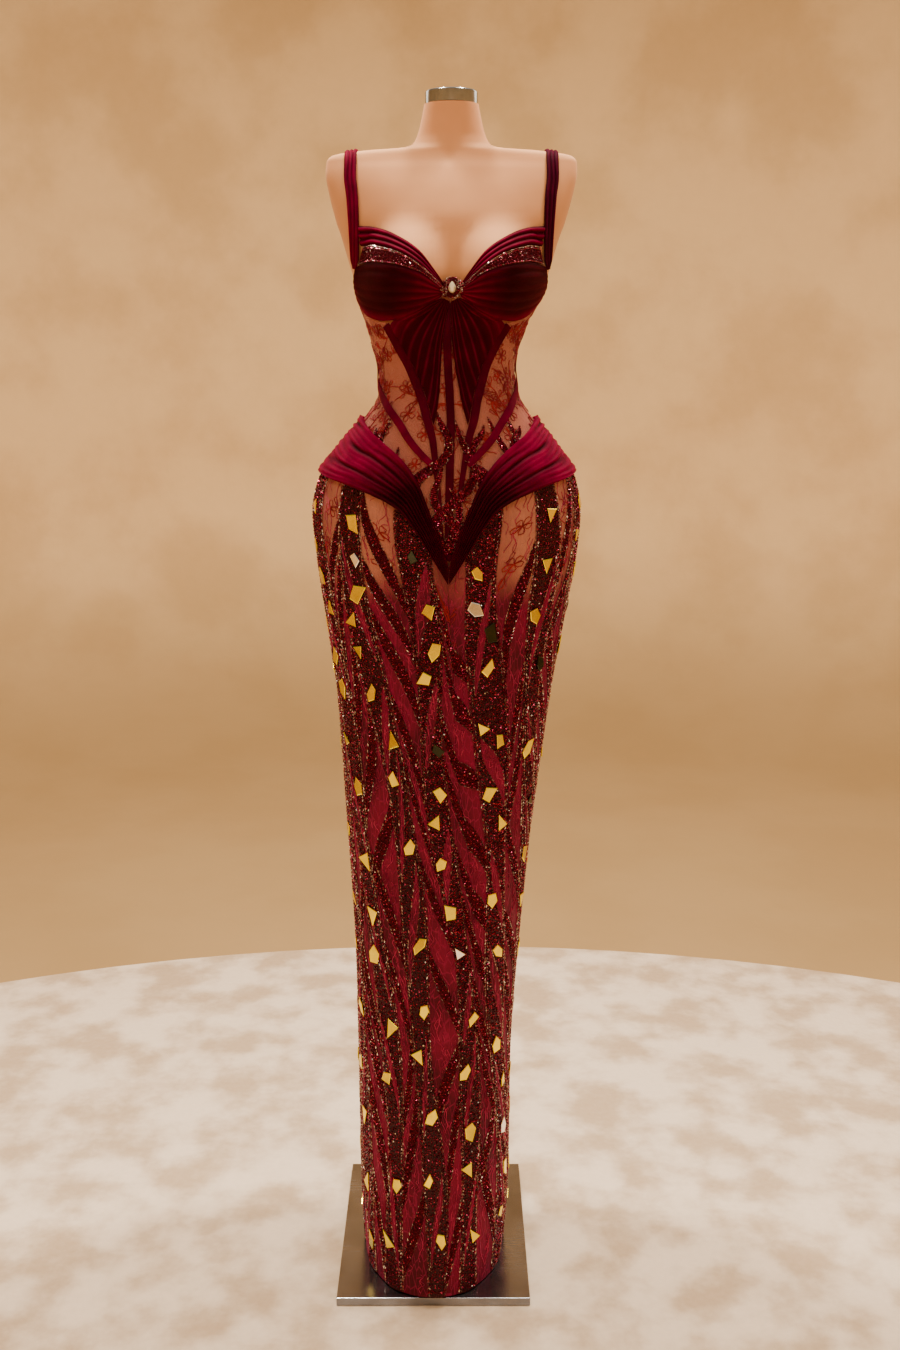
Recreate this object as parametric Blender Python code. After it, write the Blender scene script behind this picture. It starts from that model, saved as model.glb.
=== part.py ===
"""Evening dress on a limbless dress form with a steel base.

A boned lace bodice carries two draped velvet cups, a pleated velvet fan below each cup and two
pleated straps. Pleated velvet drapes wrap the hips over the top of a long column skirt of four
gores, whose beaded bands stand up from the cloth. Metres, +Z up, the front faces -Y, and +X is
to the right of someone who looks at the front.

Every cloth piece is a closed wall laid on one figure, a stack of rounded sections. A place on
the figure is a turn in degrees, 0 at the centre front and 90 at the side, and a height.
"""

import math
from bisect import bisect_right
from collections import namedtuple

import bpy
import bmesh
from mathutils import Vector

# Driving dimensions, and places of the stand
PLATE_WIDTH = 0.278
PLATE_DEPTH = 0.337
PLATE_THICK = 0.012
PLATE_X = -0.024
PLATE_Y = 0.0185
PLATE_BEVEL = 0.0008
POLE_X = -0.022
POLE_Y = 0.004
POLE_RADIUS = 0.0125
COLLAR_RADIUS = 0.030
COLLAR_HEIGHT = 0.010
COLLAR_CHAMFER = 0.002
HEM = 0.0135
FORM_BOTTOM = 0.930
FORM_FOOT_INSET = 0.020  # rounds the form's underside
NECK_TOP = 1.7090
CAP_RADIUS = 0.0374
CAP_HEIGHT = 0.0188
CAP_ROUND = 0.003
POLE_SIDES, CAP_SIDES = 20, 24
CENTRE_FRONT = 1.2  # degrees: the centre front lies a little to +X of the figure's middle

# Heights of the cloth above the figure
SEAM = 0.0003
LACE_IN, LACE_OUT = 0.0009, 0.0020
CUP_IN, CUP_OUT, CUP_FOLD = 0.0012, 0.0027, 0.0019
ROLL_OUT, ROLL_FOLD = 0.0026, 0.0028
CRESCENT_OUT = 0.0040
FAN_IN, FAN_OUT, FAN_FOLD = 0.0037, 0.0048, 0.0018
TAPE_IN, TAPE_OUT = 0.0035, 0.0047
STRAP_IN, STRAP_OUT, STRAP_FOLD = 0.0017, 0.0031, 0.0016
DRAPE_IN, DRAPE_OUT, DRAPE_FOLD = 0.0054, 0.0070, 0.0034
SKIRT_IN, SKIRT_OUT, BAND_RISE = 0.0009, 0.0021, 0.0016
BROOCH_IN, BROOCH_OUT, BROOCH_DOME = 0.0058, 0.0068, 0.0022
STONE_SEAT, STONE_RISE, STONE_DOME = 0.0100, 0.0018, 0.0034

# Pleats and bands
CUP_FOLDS = 6
ROLL_FOLDS = 3
FAN_PLEATS = 7
STRAP_PLEATS = 3
DRAPE_PLEATS = 9
BANDS = 12
BAND_SHARE = 0.50  # of the room that a band has round the skirt
BAND_SWELL = 0.09
BAND_EDGE = 0.13  # of a band's width, where it slopes down to the cloth
BAND_LINES = 6  # lines of points for each band and the gap before it
SWEEP = 44.0  # degrees that the bands turn round the skirt between hip and knee
SWEEP_LOW, SWEEP_HIGH = 0.12, 1.10
SWAY, SWAY_HEIGHT, SWAY_PHASE = 2.8, 0.60, 150.0
SWAY_FADE_LOW, SWAY_FADE_HIGH = 0.95, 1.10
SWELL_HEIGHT, SWELL_PHASE = 0.36, 210.0
BAND_TOP = 1.12
BAND_FADE = 0.030  # the height over which the bands flatten towards the drapes
ROW_POWER = 1.25  # brings the rows of points closer together at the hips
SEAM_TURN = 0.15  # degrees that a gore stays short of its seam
SKIRT_ROWS = 22
PANEL_ROWS, BACK_PANEL_ROWS = 14, 9
FRONT_COLUMNS, SIDE_COLUMNS, BACK_COLUMNS = 7, 10, 7
PANEL_SEAM_TURN = 0.08  # degrees that a panel stays short of its seam
PANEL_ROW_POWER = 1.15  # brings its rows of points closer together under the bust
CUP_COLUMNS, FAN_ROWS, DRAPE_COLUMNS = 10, 9, 26
FRONT_TAPE_ROWS, SIDE_TAPE_ROWS = 14, 18
PATCH_CELLS = 6
BANDS_A_GORE = 3
OVERLAP = 0.005  # the skirt's top lies over the bodice's lower edge
OVERLAP_RISE, OVERLAP_DIP = 0.0017, 0.0015

Section = namedtuple("Section", "z half_width front back centre_x square")
FIGURE = (
    Section(0.0135, 0.1015, 0.1485, 0.1180, -0.0245, 2.10),
    Section(0.115, 0.1070, 0.1360, 0.1140, -0.0233, 2.10),
    Section(0.308, 0.1097, 0.1230, 0.1130, -0.0236, 2.10),
    Section(0.497, 0.1185, 0.1160, 0.1160, -0.0196, 2.10),
    Section(0.683, 0.1337, 0.1150, 0.1200, -0.0149, 2.10),
    Section(0.865, 0.1524, 0.1170, 0.1290, -0.0096, 2.10),
    Section(0.985, 0.1715, 0.1210, 0.1390, -0.0076, 2.10),
    Section(1.074, 0.1855, 0.1240, 0.1440, -0.0055, 2.10),
    Section(1.130, 0.1905, 0.1230, 0.1420, -0.0055, 2.10),
    Section(1.177, 0.1835, 0.1180, 0.1320, -0.0045, 2.10),
    Section(1.220, 0.1540, 0.1080, 0.1120, -0.0030, 2.10),
    Section(1.262, 0.1225, 0.0970, 0.0910, -0.0015, 2.10),
    Section(1.300, 0.0995, 0.0890, 0.0780, -0.0025, 2.10),
    Section(1.335, 0.0955, 0.0850, 0.0730, -0.0045, 2.10),
    Section(1.371, 0.1040, 0.0860, 0.0790, -0.0060, 2.10),
    Section(1.414, 0.1190, 0.0880, 0.0900, -0.0040, 2.15),
    Section(1.457, 0.1380, 0.0890, 0.0990, 0.0005, 2.25),
    Section(1.506, 0.1525, 0.0840, 0.1040, 0.0005, 2.35),
    Section(1.545, 0.1630, 0.0740, 0.0990, 0.0010, 2.40),
    Section(1.585, 0.1735, 0.0590, 0.0840, 0.0015, 2.40),
    Section(1.615, 0.1785, 0.0450, 0.0660, 0.0020, 2.35),
    Section(1.629, 0.1775, 0.0375, 0.0550, 0.0025, 2.30),
    Section(1.637, 0.1710, 0.0345, 0.0500, 0.0025, 2.20),
    Section(1.643, 0.1380, 0.0330, 0.0480, 0.0025, 2.10),
    Section(1.647, 0.0760, 0.0324, 0.0476, 0.0022, 2.08),
    Section(1.653, 0.0560, 0.0315, 0.0470, 0.0020, 2.05),
    Section(1.667, 0.0480, 0.0300, 0.0460, 0.0020, 2.00),
    Section(1.688, 0.0425, 0.0300, 0.0460, 0.0020, 2.00),
    Section(1.709, 0.0385, 0.0305, 0.0455, 0.0020, 2.00),
)
BUST_X, BUST_Z, BUST_RISE = 0.066, 1.463, 0.040
BUST_ACROSS, BUST_ABOVE, BUST_BELOW = 0.065, 0.085, 0.058
BUST_MIDDLE_X = 0.0028  # of the point halfway between the busts, from the section's middle

# How far the dress form stays inside the figure, where cloth hides it
Inset = namedtuple("Inset", "z depth")
FORM_INSET = (
    Inset(FORM_BOTTOM, 0.008),
    Inset(1.200, 0.008),
    Inset(1.300, 0.005),
    Inset(1.400, 0.004),
    Inset(1.440, 0.0036),
    Inset(1.500, 0.0026),
    Inset(1.523, 0.0022),
    Inset(1.545, 0.0),
    Inset(NECK_TOP, 0.0),
)
FORM_HEIGHTS = (
    0.942, 0.98, 1.06, 1.12, 1.18, 1.25, 1.29, 1.33, 1.37, 1.398, 1.417, 1.433, 1.449,
    1.465, 1.481, 1.497, 1.513, 1.53, 1.55, 1.575, 1.60, 1.615, 1.625, 1.631, 1.635, 1.638, 1.641,
    1.643, 1.645, 1.647, 1.652, 1.660, 1.675, 1.692, NECK_TOP,
)
FORM_TURNS = (*range(-90, 90, 9), *range(90, 270, 15))

# The cups' edges, at shares of the way from the brooch to the strap
CupLine = namedtuple("CupLine", "share neck_turn neck roll_turn roll mid_turn mid under_turn under")
CUP = (
    CupLine(0.00, 6.0, 1.4545, 6.1, 1.4500, 6.2, 1.4465, 6.3, 1.4370),
    CupLine(0.12, 11.0, 1.4730, 10.8, 1.4600, 11.0, 1.4550, 12.0, 1.4262),
    CupLine(0.28, 17.8, 1.4970, 17.5, 1.4748, 17.8, 1.4660, 21.0, 1.4140),
    CupLine(0.46, 26.3, 1.5150, 26.5, 1.4915, 27.0, 1.4748, 33.5, 1.4055),
    CupLine(0.64, 33.9, 1.5268, 35.5, 1.5015, 36.5, 1.4800, 47.5, 1.4035),
    CupLine(0.82, 41.3, 1.5330, 42.8, 1.5062, 46.0, 1.4832, 65.0, 1.4105),
    CupLine(1.00, 47.7, 1.5345, 49.5, 1.5060, 60.0, 1.4800, 88.0, 1.4330),
)

# Along a hip drape, from its point at the centre front round to the centre back
DrapeLine = namedtuple("DrapeLine", "share low_turn low high_turn high")
DRAPE = (
    DrapeLine(0.00, 0.2, 1.0430, 0.2, 1.0680),
    DrapeLine(0.08, 7.0, 1.0790, 3.6, 1.1050),
    DrapeLine(0.15, 13.2, 1.1140, 8.0, 1.1430),
    DrapeLine(0.22, 20.5, 1.1434, 13.5, 1.1820),
    DrapeLine(0.31, 33.2, 1.1630, 24.0, 1.2130),
    DrapeLine(0.42, 51.8, 1.1780, 43.0, 1.2390),
    DrapeLine(0.60, 90.0, 1.1880, 84.0, 1.2660),
    DrapeLine(0.80, 135.0, 1.1860, 133.0, 1.2560),
    DrapeLine(1.00, 179.8, 1.1800, 179.8, 1.2380),
)

CUP_SEAM = 0.0004  # that a piece of the cup stays short of its edge
CRESCENT_REACH = 0.94  # of the way to the strap

# Where the bodice is sewn to the skirt, and the bodice's upper edge
Edge = namedtuple("Edge", "turn z")
WAIST_SEAM = (
    Edge(0.0, 1.0520),
    Edge(6.0, 1.0850),
    Edge(11.0, 1.1200),
    Edge(17.0, 1.1550),
    Edge(28.0, 1.1850),
    Edge(48.0, 1.2050),
    Edge(90.0, 1.2250),
    Edge(135.0, 1.2200),
    Edge(180.0, 1.2100),
)
BODICE_TOP = (
    Edge(0.0, 1.4385),
    Edge(6.3, 1.4362),
    Edge(12.0, 1.4254),
    Edge(21.0, 1.4132),
    Edge(33.5, 1.4047),
    Edge(47.5, 1.4027),
    Edge(65.0, 1.4097),
    Edge(88.5, 1.4322),
    Edge(98.0, 1.4500),
    Edge(135.0, 1.4560),
    Edge(180.0, 1.4520),
)
# The seam between front and side panels, at shares of the bodice's height
PanelSeam = namedtuple("PanelSeam", "share turn")
FRONT_SEAM = (
    PanelSeam(0.00, 2.6),
    PanelSeam(0.28, 2.8),
    PanelSeam(0.42, 6.0),
    PanelSeam(0.55, 15.0),
    PanelSeam(0.75, 30.0),
    PanelSeam(1.00, 47.0),
)
SIDE_SEAM = 102.0
BACK_EDGE = 180.0

# Boning tapes and straps, as stops along their middle line
Stop = namedtuple("Stop", "share turn z width")
FRONT_TAPE = (
    Stop(0.00, 46.0, 1.3985, 0.0125),
    Stop(0.35, 30.5, 1.3330, 0.0125),
    Stop(0.65, 15.6, 1.2680, 0.0115),
    Stop(0.80, 9.2, 1.2330, 0.0095),
    Stop(1.00, 4.2, 1.1600, 0.0065),
)
SIDE_TAPE = (
    Stop(0.00, 126.0, 1.4500, 0.0110),
    Stop(0.25, 112.0, 1.3850, 0.0110),
    Stop(0.45, 92.0, 1.3330, 0.0110),
    Stop(0.62, 62.5, 1.2970, 0.0110),
    Stop(0.82, 35.5, 1.2640, 0.0110),
    Stop(1.00, 22.5, 1.2370, 0.0110),
)
CENTRE_TAPE_TOP, CENTRE_TAPE_FOOT, CENTRE_TAPE_WIDTH = 1.3760, 1.0750, 0.0112
FAN_NECK_INNER, FAN_NECK_OUTER = Edge(0.5, 1.4235), Edge(6.0, 1.4300)
FAN_TIP_SHARE, FAN_HEAD_SHARE = 0.70, 0.02  # of the front tape that a fan is sewn to
FAN_CUP_GAP = 0.0022  # between a fan's upper edge and the cup above it
FAN_SPREAD = 3  # how fast the pleats near the upper edge turn to follow the cup
FAN_GAP = 0.0007

STRAP_WIDTH = 0.0165
StrapStop = namedtuple("StrapStop", "z x")
STRAP_FRONT = (StrapStop(1.4850, 0.1335), StrapStop(1.5300, 0.1345), StrapStop(1.6000, 0.1390))
STRAP_BACK = (StrapStop(1.6000, 0.1370), StrapStop(1.5300, 0.1200), StrapStop(1.4575, 0.1010))
RIDGE_X = 0.1410
RIDGE_HEART = 1.590  # height of the point that the shoulder's curve is measured from
RIDGE_STEPS = 14
STRAP_STEPS = 6
FIGURE_MIDDLE_X = 0.002

BROOCH_Z = 1.4480
BROOCH_HALF_WIDTH, BROOCH_HALF_HEIGHT = 0.0125, 0.0135
STONE_HALF_WIDTH, STONE_HALF_HEIGHT, STONE_TAPER = 0.0054, 0.0080, 0.72

VELVET = ("velvet", (0.16, 0.003, 0.018), 0.75, 0.0)
VELVET_LIGHT = ("velvet_crimson", (0.30, 0.008, 0.055), 0.75, 0.0)
LACE = ("lace", (0.36, 0.10, 0.055), 0.80, 0.0)
BEADED = ("beaded_lace", (0.11, 0.006, 0.014), 0.45, 0.1)
CRESCENT = ("beaded_crescent", (0.16, 0.01, 0.02), 0.35, 0.2)
FORM_SKIN = ("form_skin", (0.66, 0.40, 0.26), 0.70, 0.0)
CHROME = ("chrome", (0.75, 0.74, 0.72), 0.12, 1.0)
STEEL = ("brushed_steel", (0.42, 0.39, 0.34), 0.25, 1.0)
BEAD_CLUSTER = ("bead_cluster", (0.10, 0.03, 0.03), 0.30, 0.4)
CRYSTAL = ("crystal", (0.85, 0.80, 0.62), 0.05, 0.0)


class Track:
    """Smooth values between the rows of a table, whose first column is the place."""

    def __init__(self, rows):
        self.rows = rows
        self.places = [row[0] for row in rows]
        self.slopes = [self.column_slopes(i) for i in range(len(rows[0]))]

    def column_slopes(self, column):
        """Slopes that never overshoot the rows."""
        rises = [
            (b[column] - a[column]) / (b[0] - a[0]) for a, b in zip(self.rows, self.rows[1:])
        ]
        inner = [0.0 if a * b <= 0 else 2 * a * b / (a + b) for a, b in zip(rises, rises[1:])]
        return [rises[0], *inner, rises[-1]]

    def at(self, place):
        place = min(max(place, self.places[0]), self.places[-1])
        i = min(max(bisect_right(self.places, place) - 1, 0), len(self.rows) - 2)
        span = self.places[i + 1] - self.places[i]
        t = (place - self.places[i]) / span
        from_low = (1 + 2 * t) * (1 - t) ** 2
        slope_low = t * (1 - t) ** 2 * span
        slope_high = t * t * (t - 1) * span
        values = [
            from_low * low + (1 - from_low) * high + slope_low * slope[i] + slope_high * slope[i + 1]
            for low, high, slope in zip(self.rows[i], self.rows[i + 1], self.slopes)
        ]
        return type(self.rows[0])(*values)


figure_track = Track(FIGURE)
inset_track = Track(FORM_INSET)
cup_track = Track(CUP)
drape_track = Track(DRAPE)
waist_track = Track(WAIST_SEAM)
top_track = Track(BODICE_TOP)
under_track = Track([Edge(line.under_turn, line.under) for line in CUP])
front_seam_track = Track(FRONT_SEAM)
front_tape_track = Track(FRONT_TAPE)
side_tape_track = Track(SIDE_TAPE)
drape_foot_track = Track([Edge(line.low_turn, line.low) for line in DRAPE])


def bust_rise(x, z):
    """How far the two rounded busts stand out of the sections."""
    rise = 0.0
    for side in (-1, 1):
        across = (x - BUST_MIDDLE_X - side * BUST_X) / BUST_ACROSS
        up = (z - BUST_Z) / (BUST_ABOVE if z > BUST_Z else BUST_BELOW)
        rise += BUST_RISE * max(0.0, 1 - across * across - up * up) ** 1.5
    return rise


def figure_point(turn, z):
    """A point of the figure at a turn in degrees and a height."""
    row = figure_track.at(z)
    side, ahead = math.sin(math.radians(turn)), math.cos(math.radians(turn))
    reach = (abs(side) ** row.square + abs(ahead) ** row.square) ** (-1 / row.square)
    x = row.half_width * side * reach
    if ahead > 0:
        y = -row.front * ahead * reach - bust_rise(x, z)
    else:
        y = -row.back * ahead * reach
    return Vector((row.centre_x + x, y, z))


def on_figure(turn, z):
    """A point of the figure and its outward normal."""
    wide, tall = 0.4, 0.0012
    across = figure_point(turn + wide, z) - figure_point(turn - wide, z)
    up = figure_point(turn, z + tall) - figure_point(turn, z - tall)
    return figure_point(turn, z), across.cross(up).normalized()


def between(a, b, share):
    return a + (b - a) * share


def inset_share(share, margin):
    """A share of 0 to 1, drawn in by a margin at both ends."""
    return margin + (1 - 2 * margin) * share


def pleat(share, count):
    """0 in the valleys and 1 on the crests of count even pleats."""
    return abs(math.sin(math.pi * count * share))


def material(finish):
    name, colour, roughness, metallic = finish
    made = bpy.data.materials.get(name) or bpy.data.materials.new(name)
    made.use_nodes = True
    made.diffuse_color = (*colour, 1.0)
    shader = made.node_tree.nodes["Principled BSDF"]
    shader.inputs["Base Color"].default_value = (*colour, 1.0)
    shader.inputs["Roughness"].default_value = roughness
    shader.inputs["Metallic"].default_value = metallic
    return made


def add_object(name, shape, finish):
    """Makes a named object of a closed bmesh and turns its faces outwards."""
    bmesh.ops.recalc_face_normals(shape, faces=shape.faces)
    mesh = bpy.data.meshes.new(name)
    shape.to_mesh(mesh)
    shape.free()
    mesh.shade_smooth()
    mesh.set_sharp_from_angle(angle=math.radians(50))
    mesh.materials.append(material(finish))
    made = bpy.data.objects.new(name, mesh)
    bpy.context.scene.collection.objects.link(made)
    return made


def counts(total, step):
    """0, step, 2 step and so on up to total, which is always the last."""
    return [*range(0, total, step), total]


def rim(shape, fine, coarse, coarse_at):
    """Closes the edge between a row of fine points and a row of coarser ones, which lie
    opposite the fine points of the numbers in coarse_at."""
    for j in range(len(coarse_at) - 1):
        for place in range(coarse_at[j], coarse_at[j + 1]):
            shape.faces.new((coarse[j], fine[place], fine[place + 1]))
        shape.faces.new((coarse[j], fine[coarse_at[j + 1]], coarse[j + 1]))


def wall(name, finish, place, lifts, across, along, step=(1, 1)):
    """A closed wall of cloth. place(s, v) gives a point and its normal, and lifts(s, v) how
    far the inner and the outer face stand off it. The plain inner face may have every second
    or third point only, as step says."""
    shape = bmesh.new()
    inner_across, inner_along = counts(across, step[0]), counts(along, step[1])
    outer, inner = {}, {}
    for i in range(across + 1):
        for j in range(along + 1):
            s, v = i / across, j / along
            point, normal = place(s, v)
            low, high = lifts(s, v)
            outer[i, j] = shape.verts.new(point + normal * high)
            if i in inner_across and j in inner_along:
                inner[i, j] = shape.verts.new(point + normal * low)
    for i in range(across):
        for j in range(along):
            shape.faces.new((outer[i, j], outer[i + 1, j], outer[i + 1, j + 1], outer[i, j + 1]))
    for a, b in zip(inner_across, inner_across[1:]):
        for c, d in zip(inner_along, inner_along[1:]):
            shape.faces.new((inner[a, c], inner[a, d], inner[b, d], inner[b, c]))
    for j in (0, along):
        fine = [outer[i, j] for i in range(across + 1)]
        coarse = [inner[i, j] for i in inner_across]
        rim(shape, fine, coarse, inner_across)
    for i in (0, across):
        fine = [outer[i, j] for j in range(along + 1)]
        coarse = [inner[i, j] for j in inner_along]
        rim(shape, fine, coarse, inner_along)
    return add_object(name, shape, finish)


def sides():
    """The wearer's two sides as a name and the sign of X."""
    return (("left", 1), ("right", -1))


def sided(sign, turn):
    """A turn counted from the centre front to one side."""
    return sign * turn + CENTRE_FRONT * max(0.0, math.cos(math.radians(turn)))


def front_panel_turns(share):
    return 0.0, front_seam_track.at(share).turn


def side_panel_turns(share):
    return front_seam_track.at(share).turn, SIDE_SEAM


def back_panel_turns(share):
    return SIDE_SEAM, BACK_EDGE


def bodice_panel(name, sign, turns, across, along):
    """One lace panel between two seams, from the waist seam up to the cup or the top edge."""

    def place(s, v):
        first, last = turns(v)
        crowded = s ** (1.5 - 0.5 * v)  # more columns near the point at the centre front
        turn = between(first, last, inset_share(crowded, PANEL_SEAM_TURN / (last - first)))
        low = waist_track.at(turn).z - OVERLAP
        high = top_track.at(turn).z - SEAM / 2
        return on_figure(sided(sign, turn), between(low, high, 1 - (1 - v) ** PANEL_ROW_POWER))

    def lifts(s, v):
        dip = OVERLAP_DIP * (v == 0)
        return LACE_IN - dip, LACE_OUT - dip

    return wall(name, LACE, place, lifts, across, along)


def build_bodice():
    for side, sign in sides():
        bodice_panel(f"bodice_front_{side}", sign, front_panel_turns, FRONT_COLUMNS, PANEL_ROWS)
        bodice_panel(f"bodice_side_{side}", sign, side_panel_turns, SIDE_COLUMNS, PANEL_ROWS)
        bodice_panel(f"bodice_back_{side}", sign, back_panel_turns, BACK_COLUMNS, BACK_PANEL_ROWS)


def cup_piece(name, finish, sign, upper, lower, lifts, across, reach=1.0):
    """A piece of the cup between two of its edges, from the brooch out to the strap."""

    def place(s, v):
        line = cup_track.at(s * reach)
        turn_low, low = getattr(line, lower + "_turn"), getattr(line, lower)
        turn_high, high = getattr(line, upper + "_turn"), getattr(line, upper)
        share = inset_share(v, CUP_SEAM / (high - low + 2 * CUP_SEAM))
        return on_figure(sided(sign, between(turn_low, turn_high, share)), between(low, high, share))

    return wall(name, finish, place, lifts, CUP_COLUMNS, across)


def build_cups():
    def draped(s, v):
        depth = CUP_FOLD * (0.55 + 0.45 * math.sin(math.pi * min(1.0, s * 1.25)))
        return CUP_IN, CUP_OUT + depth * pleat(v, CUP_FOLDS)

    def rolled(s, v):
        return CUP_IN, ROLL_OUT + ROLL_FOLD * pleat(v, ROLL_FOLDS) * (0.45 + 0.55 * s)

    def beaded(s, v):
        return CUP_IN, CRESCENT_OUT

    for side, sign in sides():
        cup_piece(f"cup_drape_{side}", VELVET, sign, "mid", "under", draped, 2 * CUP_FOLDS)
        cup_piece(f"cup_crescent_{side}", CRESCENT, sign, "roll", "mid", beaded, 2, CRESCENT_REACH)
        cup_piece(f"cup_roll_{side}", VELVET, sign, "neck", "roll", rolled, 2 * ROLL_FOLDS)


def beside_tape(share, gap):
    """A place just inside the inner edge of the front tape, at a share of its length."""
    stop, on = front_tape_track.at(share), front_tape_track.at(share + 0.01)
    point, normal = on_figure(stop.turn, stop.z)
    ahead = (figure_point(on.turn, on.z) - point).normalized()
    inward = ahead.cross(normal) * (stop.width / 2 + gap)
    a_degree = figure_point(stop.turn + 0.5, stop.z) - figure_point(stop.turn - 0.5, stop.z)
    if inward.dot(a_degree) > 0:
        inward = -inward
    return Edge(stop.turn + inward.dot(a_degree) / a_degree.length_squared, stop.z + inward.z)


def build_fans():
    """A velvet fan below each cup, pleated from the brooch to the boning tape."""

    def below_cup(turn):
        return under_track.at(turn).z - FAN_CUP_GAP

    def lifts(s, v):
        return FAN_IN, FAN_OUT + FAN_FOLD * pleat(s, FAN_PLEATS) * (0.5 + 0.5 * v)

    for side, sign in sides():

        def place(s, v, sign=sign):
            sewn = beside_tape(between(FAN_TIP_SHARE, FAN_HEAD_SHARE, s), FAN_GAP)
            turn = between(between(FAN_NECK_INNER.turn, FAN_NECK_OUTER.turn, s), sewn.turn, v)
            z = between(between(FAN_NECK_INNER.z, FAN_NECK_OUTER.z, s), sewn.z, v)
            upper = s ** FAN_SPREAD * 4 * v * (1 - v)
            return on_figure(sided(sign, turn), between(z, below_cup(turn), upper))

        wall(f"fan_{side}", VELVET, place, lifts, 2 * FAN_PLEATS, FAN_ROWS, (2, 1))


def ribbon(name, finish, middle, width, lifts, across, along, step=(1, 1)):
    """A strip along a line. middle(v) gives a point and normal, and width(v) its width."""
    near = 0.5 / along

    def place(s, v):
        point, normal = middle(v)
        ahead = middle(min(1.0, v + near))[0] - middle(max(0.0, v - near))[0]
        sideways = ahead.cross(normal).normalized()
        return point + sideways * width(v) * (s - 0.5), normal

    return wall(name, finish, place, lifts, across, along, step)


def build_tapes():
    """Boning tapes over the seams of the bodice."""

    def lifts(s, v):
        return TAPE_IN, TAPE_OUT

    kinds = (("front", front_tape_track, FRONT_TAPE_ROWS), ("side", side_tape_track, SIDE_TAPE_ROWS))
    for kind, track, rows in kinds:
        for side, sign in sides():

            def middle(v, track=track, sign=sign):
                stop = track.at(v)
                return on_figure(sided(sign, stop.turn), stop.z)

            def width(v, track=track):
                return track.at(v).width

            ribbon(f"tape_{kind}_{side}", VELVET, middle, width, lifts, 1, rows)

    def centre(v):
        return on_figure(CENTRE_FRONT, between(CENTRE_TAPE_TOP, CENTRE_TAPE_FOOT, v))

    ribbon("tape_centre", VELVET, centre, lambda v: CENTRE_TAPE_WIDTH, lifts, 1, FRONT_TAPE_ROWS)


def torso_excess(x, y, z):
    """Below 0 inside the figure's sections and above 0 outside them."""
    row = figure_track.at(z)
    depth = row.front if y < 0 else row.back
    return (abs(x - row.centre_x) / row.half_width) ** row.square + (abs(y) / depth) ** row.square - 1


def surface_normal(point):
    """The outward normal of the sections at a point on them."""
    step = 0.0008
    x, y, z = point
    slope = Vector((
        torso_excess(x + step, y, z) - torso_excess(x - step, y, z),
        torso_excess(x, y + step, z) - torso_excess(x, y - step, z),
        torso_excess(x, y, z + step) - torso_excess(x, y, z - step),
    ))
    return slope.normalized()


def outwards(start, direction):
    """The point where a line from inside the figure leaves it."""
    near, far = 0.0, 0.2
    for _ in range(40):
        middle = (near + far) / 2
        if torso_excess(*(start + direction * middle)) < 0:
            near = middle
        else:
            far = middle
    return start + direction * near


def strap_line(sign):
    """Points of a strap's middle line, up the chest, over the shoulder and down the back."""
    points = []
    for stops, ahead in ((STRAP_FRONT, -1), (STRAP_BACK, 1)):
        rising = Track(tuple(sorted(stops)))
        low, high = rising.places[0], rising.places[-1]
        heights = [between(low, high, i / STRAP_STEPS) for i in range(STRAP_STEPS + 1)]
        for z in heights if ahead < 0 else reversed(heights):
            start = Vector((FIGURE_MIDDLE_X + sign * rising.at(z).x, 0.0, z))
            points.append(outwards(start, Vector((0, ahead, 0))))
        if ahead < 0:
            for i in range(1, RIDGE_STEPS):
                angle = math.pi * i / RIDGE_STEPS
                start = Vector((FIGURE_MIDDLE_X + sign * RIDGE_X, 0.0, RIDGE_HEART))
                points.append(outwards(start, Vector((0, -math.cos(angle), math.sin(angle)))))
    return points


def along_points(points):
    """A function that gives the place at a share of the way through a list of points."""

    def at(share):
        i = min(int(share * (len(points) - 1) + 1e-6), len(points) - 2)
        return points[i].lerp(points[i + 1], share * (len(points) - 1) - i)

    return at


def build_straps():
    def lifts(s, v):
        return STRAP_IN, STRAP_OUT + STRAP_FOLD * pleat(s, STRAP_PLEATS)

    for side, sign in sides():
        line = strap_line(sign)
        at = along_points(line)

        def middle(v, at=at):
            point = at(v)
            return point, surface_normal(point)

        finish = VELVET if sign > 0 else VELVET_LIGHT
        ribbon(f"strap_{side}", finish, middle, lambda v: STRAP_WIDTH, lifts,
               2 * STRAP_PLEATS, len(line) - 1, (3, 1))


def build_drapes():
    """Pleated velvet swags from the point at the centre front round the hips to the back."""

    def lifts(s, v):
        depth = DRAPE_FOLD * (0.45 + 0.55 * math.sin(math.pi * min(1.0, v / 1.36)))
        return DRAPE_IN, DRAPE_OUT + depth * pleat(s, DRAPE_PLEATS)

    for side, sign in sides():

        def place(s, v, sign=sign):
            line = drape_track.at(v)
            turn = between(line.low_turn, line.high_turn, s)
            return on_figure(sided(sign, turn), between(line.low, line.high, s))

        wall(f"hip_drape_{side}", VELVET_LIGHT, place, lifts, 2 * DRAPE_PLEATS, DRAPE_COLUMNS, (6, 1))


def smooth_step(low, high, value):
    share = min(max((value - low) / (high - low), 0.0), 1.0)
    return share * share * (3 - 2 * share)


def band_middle(band, z):
    """Turn of a band's middle line at a height: a long sweep round the skirt, and a sway."""
    sweep = SWEEP * (1 - smooth_step(SWEEP_LOW, SWEEP_HIGH, z))
    phase = math.radians(SWAY_PHASE * band)
    sway = SWAY * math.sin(2 * math.pi * z / SWAY_HEIGHT + phase)
    sway *= 1 - smooth_step(SWAY_FADE_LOW, SWAY_FADE_HIGH, z)
    return CENTRE_FRONT + 360.0 * (band + 0.5) / BANDS + sweep + sway


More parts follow.
